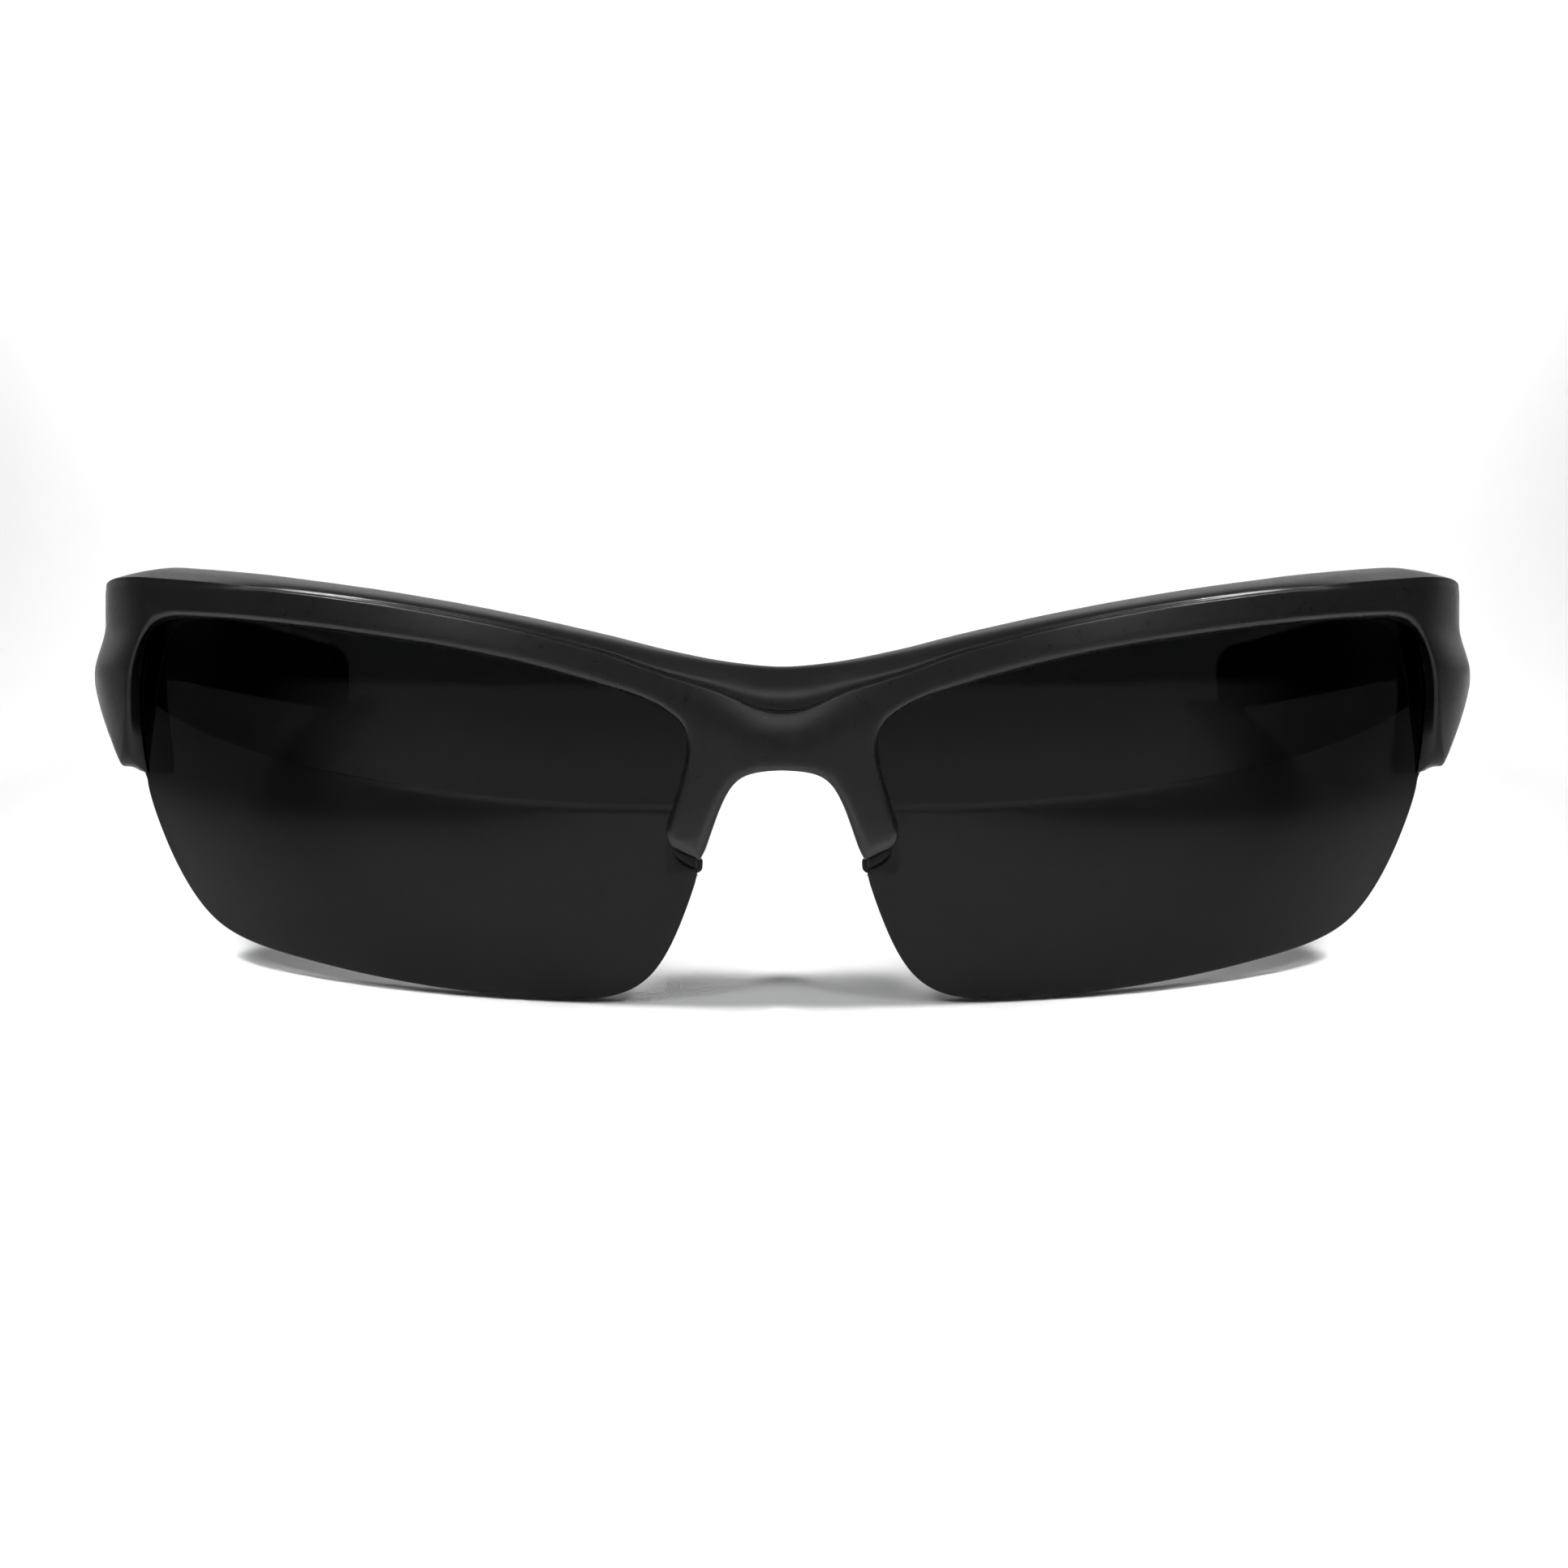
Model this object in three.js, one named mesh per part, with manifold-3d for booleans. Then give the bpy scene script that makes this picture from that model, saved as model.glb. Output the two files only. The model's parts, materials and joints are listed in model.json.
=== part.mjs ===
// Wraparound half-rim sport sunglasses: one moulded front, two smoke lenses held in a
// groove of the front, two moulded rubber nose pads, two temples with rubber sleeves,
// and two three-knuckle screw hinges. Millimetres, +Z up, the glasses stand on the
// lower edges of the lenses and on the tips of the temples.
//
// The front is described in its own flat coordinates: s along the brow from the middle
// of the bridge, z up, and t out of the front, with t = 0 on the front surface of the lens.
import * as THREE from 'three';
import Module from 'manifold-3d';
import { mergeVertices } from 'three/addons/utils/BufferGeometryUtils.js';

const wasm = await Module();
wasm.setup();

// ---------------------------------------------------------------- driving dimensions
const LENS_R = 66.0;               // radius of the lens sphere
const LENS_CX = 12.3;              // centre of the sphere, to the side of the nose
const LENS_CZ = 6.0;               // height of the sphere's centre
const LENS_Y0 = 2.0;               // front of the lens at the nose
const LENS_T = 2.2;                // lens thickness
const GROOVE_GAP = 0.3;            // room round the lens in its groove
const CORNER_TH = 50.5 * Math.PI / 180;   // where the brow starts to turn tighter
const CORNER_R = 21.0;             // radius of the turn at the end-piece
const END_TH = 85.0 * Math.PI / 180;      // direction of the end-piece at the hinge
const FACE_T = 2.0;                // front face, above the lens surface
const BACK_T = -4.2;               // back face
const SPLIT_Y = 38.3;              // rear end of the end-piece
const TEMPLE_Y0 = 38.7;            // front end of the temple
const TEMPLE_LEN = 107.3;          // temple from the hinge to the tip
const SLEEVE_Y0 = 101.3;           // where the rubber sleeve begins
const SLEEVE_GAP = 0.3;            // room between the sleeve and the temple's core
const HINGE_X = 62.8, HINGE_Y = 38.5;     // hinge axis, parallel to the worn vertical
const KNUCKLE_R = 1.6, KNUCKLE_BORE = 0.8, PIN_R = 0.65;
const KNUCKLES = [[12.3, 14.5], [14.8, 17.2], [17.5, 19.7]];
const LEAF_X = [62.9, 63.7];       // hinge leaf thickness
const SEAT_X = 64.0;               // the leaf's seat in the end-piece
const SCREW_Z = [14.2, 17.8];      // leaf screws
const SCREW_R = 0.6, SCREW_HEAD_R = 1.15, SCREW_END_X = 66.6;
const TILT = 12.85 * Math.PI / 180; // the worn horizontal against the surface it stands on

// ---------------------------------------------------------------- colours
const NYLON = { color: 0x141414, roughness: 0.52, metalness: 0.0 };
const RUBBER = { color: 0x0b0b0b, roughness: 0.85, metalness: 0.0 };
const LENS = { color: 0x0c0d0e, roughness: 0.05, metalness: 0.0 };
const STEEL = { color: 0x3c3d40, roughness: 0.35, metalness: 1.0 };

// ---------------------------------------------------------------- plan of the front
const S1 = LENS_CX + LENS_R * CORNER_TH;
const S2 = S1 + CORNER_R * (END_TH - CORNER_TH);
const X1 = LENS_CX + LENS_R * Math.sin(CORNER_TH), Y1 = LENS_Y0 + LENS_R * (1 - Math.cos(CORNER_TH));
const X2 = X1 + CORNER_R * (Math.sin(END_TH) - Math.sin(CORNER_TH));
const Y2 = Y1 + CORNER_R * (Math.cos(CORNER_TH) - Math.cos(END_TH));
const smooth = (a, b, x) => { const u = Math.min(1, Math.max(0, (x - a) / (b - a))); return u * u * (3 - 2 * u); };

function plan(s) {
  if (s < LENS_CX) return [s, LENS_Y0, 0];
  if (s < S1) { const th = (s - LENS_CX) / LENS_R; return [LENS_CX + LENS_R * Math.sin(th), LENS_Y0 + LENS_R * (1 - Math.cos(th)), th]; }
  if (s < S2) { const th = CORNER_TH + (s - S1) / CORNER_R; return [X1 + CORNER_R * (Math.sin(th) - Math.sin(CORNER_TH)), Y1 + CORNER_R * (Math.cos(CORNER_TH) - Math.cos(th)), th]; }
  return [X2 + (s - S2) * Math.cos(END_TH), Y2 + (s - S2) * Math.sin(END_TH), END_TH];
}
const lensSag = z => Math.sqrt(LENS_R * LENS_R - (z - LENS_CZ) ** 2) - LENS_R;
// the end-piece bulges outward along a ridge 11.65 mm up
const cornerSag = z => z > 11.5 ? 0.28 - 1.1 * smooth(11.5, 16.2, z) : 0.28 - 0.68 * smooth(11.0, 2.0, z);
// flat coordinates of the front to worn coordinates
function warp(s, z, t) {
  const a = Math.abs(s), [x, y, th] = plan(a), w = smooth(66, 80, a);
  const tt = t + (1 - w) * lensSag(z) + w * cornerSag(z);
  return [Math.sign(s) * (x + Math.sin(th) * tt), y - Math.cos(th) * tt, z];
}
// flat coordinates of a lens to worn coordinates: a true sphere
function warpLens(s, z, t) {
  const a = (Math.abs(s) - LENS_CX) / LENS_R, r = Math.sqrt((LENS_R + t) ** 2 - (z - LENS_CZ) ** 2);
  return [Math.sign(s) * (LENS_CX + Math.sin(a) * r), LENS_Y0 + LENS_R - Math.cos(a) * r, z];
}

// ---------------------------------------------------------------- small tools
// cubic through table points, without overshoot
function table(pts) {
  const n = pts.length, d = [], m = [];
  for (let i = 0; i < n - 1; i++) d.push((pts[i + 1][1] - pts[i][1]) / (pts[i + 1][0] - pts[i][0]));
  for (let i = 0; i < n; i++) m.push(i === 0 ? d[0] : i === n - 1 ? d[n - 2] : d[i - 1] * d[i] <= 0 ? 0 : 2 * d[i - 1] * d[i] / (d[i - 1] + d[i]));
  return x => {
    if (x <= pts[0][0]) return pts[0][1];
    if (x >= pts[n - 1][0]) return pts[n - 1][1];
    let i = 0; while (x > pts[i + 1][0]) i++;
    const h = pts[i + 1][0] - pts[i][0], u = (x - pts[i][0]) / h;
    return pts[i][1] * (1 + 2 * u) * (1 - u) ** 2 + m[i] * h * u * (1 - u) ** 2
      + pts[i + 1][1] * u * u * (3 - 2 * u) + m[i + 1] * h * u * u * (u - 1);
  };
}
// evenly spaced points on a smooth curve through 2-D points
function resample(pts, step, closed = false) {
  const c = new THREE.CatmullRomCurve3(pts.map(p => new THREE.Vector3(p[0], p[1], 0)), closed, 'centripetal');
  c.arcLengthDivisions = 600;
  const n = Math.max(2, Math.round(c.getLength() / step));
  const out = c.getSpacedPoints(n).map(v => [v.x, v.y]);
  if (closed) out.pop();
  return out;
}
const area2 = (a, b, c) => (b[0] - a[0]) * (c[1] - a[1]) - (b[1] - a[1]) * (c[0] - a[0]);
// triangulate a flat outline, flip its diagonals to near-Delaunay, split the long ones
function fillOutline(loop, maxLen) {
  const P = loop.map(p => p.slice());
  const T = THREE.ShapeUtils.triangulateShape(P.map(p => new THREE.Vector2(p[0], p[1])), []).map(t => t.slice());
  for (const t of T) if (area2(P[t[0]], P[t[1]], P[t[2]]) < 0) t.reverse();
  const edges = () => {
    const m = new Map();
    T.forEach((t, k) => { for (let i = 0; i < 3; i++) { const a = t[i], b = t[(i + 1) % 3], key = a < b ? a + '_' + b : b + '_' + a; if (!m.has(key)) m.set(key, []); m.get(key).push([k, i]); } });
    return [...m.values()].filter(e => e.length === 2);
  };
  const flip = () => {
    for (let pass = 0; pass < 40; pass++) {
      let done = 0; const used = new Set();
      for (const [[k1, i1], [k2, i2]] of edges()) {
        if (used.has(k1) || used.has(k2)) continue;
        const a = T[k1][i1], b = T[k1][(i1 + 1) % 3], c = T[k1][(i1 + 2) % 3], d = T[k2][(i2 + 2) % 3];
        if (area2(P[c], P[a], P[d]) <= 1e-6 || area2(P[d], P[b], P[c]) <= 1e-6) continue;
        const ang = (p, q, r) => { const u = [q[0] - p[0], q[1] - p[1]], v = [r[0] - p[0], r[1] - p[1]]; return Math.atan2(Math.abs(u[0] * v[1] - u[1] * v[0]), u[0] * v[0] + u[1] * v[1]); };
        if (ang(P[c], P[a], P[b]) + ang(P[d], P[a], P[b]) > Math.PI + 1e-6) { T[k1] = [c, a, d]; T[k2] = [d, b, c]; used.add(k1); used.add(k2); done++; }
      }
      if (!done) break;
    }
  };
  flip();
  for (let pass = 0; pass < 24; pass++) {
    const long = edges().map(e => { const [k, i] = e[0], a = P[T[k][i]], b = P[T[k][(i + 1) % 3]]; return [Math.hypot(a[0] - b[0], a[1] - b[1]) / maxLen(0.5 * (a[0] + b[0])), e]; }).filter(e => e[0] > 1).sort((p, q) => q[0] - p[0]);
    if (!long.length) break;
    const used = new Set();
    for (const [, [[k1, i1], [k2, i2]]] of long) {
      if (used.has(k1) || used.has(k2)) continue;
      const a = T[k1][i1], b = T[k1][(i1 + 1) % 3], c = T[k1][(i1 + 2) % 3], d = T[k2][(i2 + 2) % 3];
      const m = P.length; P.push(P[a].map((v, j) => 0.5 * (v + P[b][j])));
      T[k1] = [a, m, c]; T.push([m, b, c]); T[k2] = [b, m, d]; T.push([m, a, d]);
      used.add(k1); used.add(k2);
    }
    flip();
  }
  return [P, T];
}
function geometry(V, T) {
  const g = new THREE.BufferGeometry();
  g.setAttribute('position', new THREE.Float32BufferAttribute(V.flat(), 3));
  g.setIndex(T.flat());
  return g;
}
// a stack of outlines of one length, level by level in t, each vertex [s, z, t]
function layered(levels, map, maxLen) {
  const n = levels[0].length, L = levels.length, V = levels.flat().map(p => p.slice()), T = [];
  for (let k = 0; k < L - 1; k++) for (let i = 0; i < n; i++) {
    const j = (i + 1) % n, a = k * n + i, b = k * n + j, c = a + n, d = b + n;
    T.push([a, b, d], [a, d, c]);
  }
  for (const k of [0, L - 1]) {
    const [P, F] = fillOutline(levels[k], maxLen);
    const id = i => i < n ? k * n + i : base + i - n, base = V.length;
    V.push(...P.slice(n));
    for (const f of F) T.push(k === 0 ? [id(f[2]), id(f[1]), id(f[0])] : [id(f[0]), id(f[1]), id(f[2])]);
  }
  return geometry(V.map(p => map(p[0], p[1], p[2])), T);
}
// closed skin through sections of one length; each section runs counter-clockwise seen from the end it came from
function loft(sections) {
  const n = sections[0].length, V = sections.flat(), T = [];
  for (let k = 0; k < sections.length - 1; k++) for (let i = 0; i < n; i++) {
    const j = (i + 1) % n, a = k * n + i, b = k * n + j;
    T.push([a, b, b + n], [a, b + n, a + n]);
  }
  for (const k of [0, sections.length - 1]) {
    const c = V.length; V.push([0, 1, 2].map(q => sections[k].reduce((u, p) => u + p[q], 0) / n));
    for (let i = 0; i < n; i++) { const a = k * n + i, b = k * n + (i + 1) % n; T.push(k === 0 ? [c, b, a] : [c, a, b]); }
  }
  return geometry(V, T);
}
function solid(g) {
  g = g.clone(); g.deleteAttribute('normal'); g.deleteAttribute('uv');
  g = mergeVertices(g, 1e-5);
  const m = new wasm.Manifold(new wasm.Mesh({ numProp: 3, vertProperties: new Float32Array(g.attributes.position.array), triVerts: new Uint32Array(g.index.array) }));
  return m.volume() < 0 ? solid(inverted(g)) : m;
}
function inverted(g) { const i = g.index.array; for (let k = 0; k < i.length; k += 3) [i[k], i[k + 1]] = [i[k + 1], i[k]]; return g; }
function mirrored(g) {
  g = g.clone(); const p = g.attributes.position; for (let i = 0; i < p.count; i++) p.setX(i, -p.getX(i));
  return inverted(g);
}
function fromSolid(m) {
  const q = m.getMesh(), g = new THREE.BufferGeometry();
  g.setAttribute('position', new THREE.Float32BufferAttribute(q.vertProperties, 3));
  g.setIndex(new THREE.Uint32BufferAttribute(q.triVerts, 1));
  return g;
}
const box = (x0, x1, y0, y1, z0, z1) => new THREE.BoxGeometry(x1 - x0, y1 - y0, z1 - z0).translate((x0 + x1) / 2, (y0 + y1) / 2, (z0 + z1) / 2);
const rod = (r, x, y, z0, z1, n = 16) => new THREE.CylinderGeometry(r, r, z1 - z0, n).rotateX(Math.PI / 2).translate(x, y, (z0 + z1) / 2);
const rodX = (r, x0, x1, y, z, n = 14) => new THREE.CylinderGeometry(r, r, x1 - x0, n).rotateZ(Math.PI / 2).translate((x0 + x1) / 2, y, z);
const both = g => [g, mirrored(g)];

// ---------------------------------------------------------------- outlines of the front (s, z)
const TOP = table([[0, 11.28], [3.13, 11.56], [6.27, 11.99], [9.4, 12.62], [12.54, 13.32], [15.76, 14.15], [19.81, 15.06], [23.93, 15.94], [28.13, 16.76], [32.45, 17.54], [36.91, 18.26], [41.57, 18.95], [46.47, 19.58], [51.69, 20.18], [57.35, 20.78], [63.6, 21.28], [69.08, 21.65], [72.74, 21.84], [75.43, 21.72], [78, 21.35], [80.5, 20.98], [83.5, 20.75], [88, 20.6]]);
const CREASE = table([[0, 6.86], [1.56, 7.0], [3.12, 7.52], [6.24, 8.97], [9.36, 9.95], [12.48, 10.92], [15.55, 12.13], [20.2, 13.51], [26.54, 15.18], [33.12, 16.49], [40.05, 17.59], [47.52, 18.57], [55.8, 19.51], [62.83, 20.14], [68.08, 20.51], [73.73, 20.82], [76.5, 20.8], [80.5, 20.45], [83.5, 20.2], [88, 20.1]]);
const NOSE_SIDE = [[0, 1.29], [1.57, 1.21], [3.13, 0.94], [4.19, 0.47], [4.93, -0.31], [5.4, -1.1], [5.79, -1.88], [6.11, -2.66], [6.42, -3.45], [6.66, -4.23], [6.97, -5.02], [7.21, -5.8], [7.49, -6.59], [7.96, -7.33]];
const ARM_END = [[7.96, -7.33], [10.64, -6.1]];
const NASAL = [[10.64, -6.1], [10.95, -5.71], [11.18, -5.01], [11.12, -4.46], [10.79, -3.44], [10.2, -1.64], [9.59, 0.55], [9.19, 2.34], [9.08, 3.75], [9.22, 4.84], [9.76, 5.94], [10.78, 6.8], [12.07, 7.65], [14.12, 8.59]];
const BROW = [[14.12, 8.59], [15.62, 9.0], [20.34, 10.33], [26.76, 11.99], [33.42, 13.29], [40.42, 14.32], [47.98, 15.3], [56.34, 16.09], [60.36, 16.34], [65.36, 16.56]];
// temporal edge of the opening, and the ridge of the end-piece in front of it
const TEMPORAL = [[65.36, 16.56], [68.42, 16.31], [70.6, 15.7], [71.64, 14.9], [72.19, 13.53], [72.43, 11.49], [72.57, 9.45], [72.5, 7.74], [72.3, 5.38], [72.1, 3.01], [72.0, 1.9]];
const RIDGE = [[65.36, 16.93], [67.9, 16.62], [69.4, 15.95], [70.1, 14.95], [70.62, 13.4], [71.2, 11.6], [71.42, 9.6], [71.56, 7.72], [72.08, 5.37], [72.7, 3.3], [73.0, 2.6]];
const END_UNDER = [[73.9, 1.75], [74.9, 2.6], [75.8, 3.6], [76.7, 4.45], [77.5, 5.27], [78.3, 6.1], [79.1, 6.95], [79.9, 7.8], [80.7, 8.6], [81.6, 9.3], [82.8, 9.75], [84.5, 10.1], [86, 10.4], [88, 10.7]];
const LENS_FREE = [[71.61, 0.49], [71.11, -1.14], [70.52, -2.77], [69.71, -4.39], [69.04, -6.01], [68.15, -7.63], [67.26, -9.25], [66.09, -10.86], [64.72, -12.47], [62.52, -14.07], [58.34, -15.63], [51.62, -17.14], [43.52, -18.64], [35.62, -19.76], [29.29, -20.38], [24.86, -20.71], [20.47, -20.85], [17.84, -20.6], [15.27, -20.04], [13.71, -19.24], [12.8, -18.44], [12.12, -17.64], [11.56, -16.84], [10.69, -15.26], [9.99, -13.67], [9.35, -12.09], [8.79, -10.51], [8.28, -8.94], [8.09, -8.23]];
const LENS_NOTCH = [[8.09, -8.23], [8.78, -8.07], [9.58, -7.64], [10.14, -7.21], [10.42, -6.74], [10.51, -6.27]];
const LENS_HIDDEN = [[10.51, -6.27], [10.15, -5.5], [9.85, -4.4], [9.4, -3.0], [8.9, -1.6], [8.3, 0.6], [7.95, 2.34], [7.85, 3.75], [8.0, 5.2], [8.6, 6.8], [9.8, 8.1], [11.4, 9.1], [13.6, 10.0], [15.4, 10.45], [20.2, 11.8], [26.6, 13.45], [33.3, 14.75], [40.3, 15.75], [47.9, 16.75], [56.3, 17.55], [60.3, 17.8], [65.4, 18.0], [69.0, 17.7], [71.5, 16.9], [72.9, 15.6], [73.5, 13.6], [73.65, 11.5], [73.7, 9.4], [73.6, 7.7], [73.4, 5.4], [73.0, 3.0], [72.3, 1.6], [71.61, 0.49]];

// ---------------------------------------------------------------- moulded front
// each vertex: position, and for each of six levels how far it is drawn in and its t
function frontLevels() {
  const right = [];   // from the middle of the arch, round the right half, to the middle of the top
  const put = (p, prof, alt) => right.push({ p, prof, alt });
  const pNose = [[0.8, BACK_T], [0, -3.4], [0, -1.0], [0, 0.9], [0.35, 1.55], [0.95, FACE_T]];
  const pArm = [[0.6, BACK_T], [0, -3.4], [0, -1.0], [0, 0.7], [0.15, 1.3], [0.9, FACE_T]];
  const pOpen = [[0.7, BACK_T], [0, -3.4], [0, -1.0], [0, 0.25], [0.1, 1.6], [0.4, FACE_T]];
  const pBrow = [[0.7, BACK_T], [0, -3.4], [0, -1.0], [0, 0.25], [0.36, 1.75], [0.6, FACE_T]];
  const pTemporal = [[0.25, BACK_T], [0, -3.4], [0, -1.0], [0, 0.25], [0.36, 1.75], [0.6, FACE_T]];
  const pUnder = [[0.25, BACK_T], [0, -3.4], [0, -1.0], [0, 0.6], [0.12, 1.6], [0.45, FACE_T]];
  for (const p of resample(NOSE_SIDE, 1.3).slice(0, -1)) put(p, pNose);
  put([7.96, -7.33], pArm); put([9.3, -6.71], pArm);
  for (const p of resample(NASAL, 1.4)) put(p, p[1] < -5.3 ? pArm : pOpen);
  for (const p of resample(BROW, 3.0).slice(1, -1)) put(p, pBrow);
  TEMPORAL.forEach((p, i) => { const r = RIDGE[i]; put(p, pTemporal, [[p[0], p[1], 0.25], [r[0], r[1], 1.75], [r[0] + (i > 4 ? 0.3 : 0.15), r[1] + (i < 6 ? 0.25 : 0.0), FACE_T]]); });
  put([71.95, 1.12], pUnder, [[71.95, 1.12, 0.25], [73.05, 2.0, 1.6], [73.2, 2.3, FACE_T]]);
  put([72.8, 1.35], pUnder, [[72.8, 1.35, 0.4], [73.3, 1.75, 1.6], [73.45, 2.05, FACE_T]]);
  for (const p of resample(END_UNDER, 2.0)) put(p, pUnder);
  const pRear = [[0, BACK_T], [0, -3.4], [0, -1.0], [0, 0.9], [0, 1.6], [0, FACE_T]];
  put([88.06, 14.2], pRear); put([88.09, 16.4], pRear); put([88.06, 18.4], pRear);
  for (let s = 88; s > -0.01; s -= (s > 70 ? 2 : s > 16 ? 3 : 2)) {
    const zt = TOP(s), zc = CREASE(s), e = 0.5 * Math.exp(-((s / 8) ** 2)), f = 1 - smooth(74, 80, s);
    put([s, zt], null, [[s, zt - 0.9, BACK_T], [s, zt, -3.4], [s, zt, -1.0 + 0.9 * (1 - f)], [s, zc + 0.22 * f + 0.05, 0.95], [s, zc, 1.55], [s, zc - 0.35, FACE_T - e]]);
  }
  // inward normals of the right half
  const n = right.length;
  const levels = [0, 1, 2, 3, 4, 5].map(() => []);
  const loop = right.map(v => v.p);
  const normal = i => {
    const a = i > 0 ? loop[i - 1] : [-loop[1][0], loop[1][1]], b = i < n - 1 ? loop[i + 1] : [-loop[n - 2][0], loop[n - 2][1]];
    const d = [b[0] - a[0], b[1] - a[1]], l = Math.hypot(...d); return [-d[1] / l, d[0] / l];
  };
  right.forEach((v, i) => {
    const q = normal(i);
    for (let k = 0; k < 6; k++) {
      if (v.alt && v.alt.length === 6) levels[k].push(v.alt[k].slice());
      else if (v.alt && k >= 3) levels[k].push(v.alt[k - 3].slice());
      else levels[k].push([v.p[0] + q[0] * v.prof[k][0], v.p[1] + q[1] * v.prof[k][0], v.prof[k][1]]);
    }
  });
  return levels.map(l => {
    l[0][0] = 0; l[l.length - 1][0] = 0;
    return [...l, ...l.slice(1, -1).reverse().map(p => [-p[0], p[1], p[2]])];
  });
}

// ---------------------------------------------------------------- lens
const lensLoop = () => {
  const a = resample(LENS_FREE, 2.6), b = resample(LENS_NOTCH, 0.9), c = resample(LENS_HIDDEN, 2.6);
  return [...a.slice(0, -1), ...b.slice(0, -1), ...c.slice(0, -1)].reverse();
};
function offset(loop, d) {
  const n = loop.length;
  return loop.map((p, i) => { const a = loop[(i + n - 1) % n], b = loop[(i + 1) % n], l = Math.hypot(b[0] - a[0], b[1] - a[1]); return [p[0] + (b[1] - a[1]) / l * d, p[1] - (b[0] - a[0]) / l * d]; });
}
function lensGeometry(grow) {
  const o = lensLoop(), ccw = o.reduce((s, p, i) => { const q = o[(i + 1) % o.length]; return s + p[0] * q[1] - q[0] * p[1]; }, 0) > 0 ? o : o.reverse();
  const out = offset(ccw, grow), e = grow ? 0 : 0.35;
  const inn = offset(ccw, -e), t0 = -LENS_T - grow, t1 = grow;
  const levels = grow
    ? [out.map(p => [...p, t0]), out.map(p => [...p, t1])]
    : [inn.map(p => [...p, t0]), out.map(p => [...p, t0 + 0.35]), out.map(p => [...p, t1 - 0.35]), inn.map(p => [...p, t1])];
  return layered(levels, warpLens, () => grow ? 7.0 : 6.5);
}

// ---------------------------------------------------------------- temple
const OUT_X = table([[38, 70.1], [46, 70.4], [55, 70.6], [68, 70.5], [80, 69.9], [92, 68.9], [105, 66.6], [118, 63.2], [132, 58.9], [146, 54.6]]);
const THICK = table([[38, 6.1], [47, 6.1], [54, 5.2], [62, 4.3], [80, 3.6], [100, 3.3], [146, 3.3]]);
const TOP_Z = table([[38, 20.7], [55, 20.5], [80, 19.9], [105, 19.1], [120, 18.1], [134, 17.0], [146, 16.0]]);
const LOW_Z = table([[38, 10.0], [41, 10.2], [46, 10.7], [60, 11.3], [80, 11.6], [100, 11.3], [118, 10.4], [132, 9.6], [146, 8.9]]);
const END_Y = TEMPLE_Y0 + TEMPLE_LEN;
function templeSection(y, grow = 0, flatIn = false) {
  const o = OUT_X(y) + grow, w = THICK(y) + 2 * grow, i = o - w, zt = TOP_Z(y) + grow, zb = LOW_Z(y) - grow;
  const k = 1 - smooth(44, 78, y), zr = 11.65 * k + (0.5 * (zt + zb)) * (1 - k), up = 1.1 * k + 0.35 * (1 - k), r = Math.min(0.9, w * 0.26);
  const m = Math.min(zr, zb + 0.42 * (zt - zb));
  return [
    [i + r, y, zb], [o - 0.5 - r, y, zb + 0.0], [o - 0.45, y, zb + 0.45 + 0.4 * (1 - k)], [o, y, Math.max(m, zb + 0.95)],
    [o - 0.35 * up, y, m + (0.45 - 0.24 * k) * (zt - m)], [o - up, y, m + (0.78 - 0.3 * k) * (zt - m)], [o - up - 0.25, y, zt - 0.55], [o - up - r - 0.1, y, zt],
    [i + r, y, zt], [i + 0.12, y, zt - 0.75], [i, y, 0.5 * (zt + zb)], [i + 0.12, y, zb + 0.75],
  ];
}
const shrink = (sec, f, y) => { const c = [0, 1, 2].map(q => sec.reduce((u, p) => u + p[q], 0) / sec.length); return sec.map(p => [c[0] + (p[0] - c[0]) * f, y, c[2] + (p[2] - c[2]) * f]); };
const coreSection = (y, grow = 0) => {
  const c = OUT_X(y) - THICK(y) / 2 - 0.1, z = 0.5 * (TOP_Z(y) + LOW_Z(y)), a = 0.8 + grow, b = 2.0 + grow, q = 0.35;
  return [[c - a + q, y, z - b], [c + a - q, y, z - b], [c + a, y, z - b + q], [c + a, y, z + b - q], [c + a - q, y, z + b], [c - a + q, y, z + b], [c - a, y, z + b - q], [c - a, y, z - b + q]];
};
const steps = (a, b, n) => Array.from({ length: n + 1 }, (_, i) => a + (b - a) * i / n);

// ---------------------------------------------------------------- nose pad
const PAD_X = table([[-10.2, 11.2], [-5, 9.35], [0, 7.75], [5, 6.6]]);
const PAD_Y = table([[-10.2, 12.9], [-5, 12.2], [0, 11.6], [5, 11.2]]);
function padSection(z, f, grow = 0) {
  const cx = PAD_X(z), cy = PAD_Y(z), a = 4.1 * f + grow, b = 1.65 * f + grow, psi = 10 * Math.PI / 180, out = [];
  for (let i = 0; i < 14; i++) {
    const u = 2 * Math.PI * i / 14, p = Math.cos(u), q = Math.sin(u);
    const al = a * Math.sign(p) * Math.abs(p) ** 0.8, bl = b * Math.sign(q) * Math.abs(q) ** 0.9;
    out.push([cx + Math.sin(psi) * al + Math.cos(psi) * bl, cy + Math.cos(psi) * al - Math.sin(psi) * bl, z]);
  }
  return out;
}
const lugSection = (z, grow) => { const c = PAD_X(z) - 1.2, a = 0.55 + grow, k = 1.08; return [[c - a, 5.2 - grow * 6, z], [c + a, 5.2 - grow * 6, z], [c + a + k, 11.3 + grow, z], [c - a + k, 11.3 + grow, z]]; };
const TOE = [[8.12, -7.52], [10.3, -6.52], [10.2, -6.85], [9.95, -7.1], [9.45, -7.48], [8.75, -7.86], [8.2, -7.98]];
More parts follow.
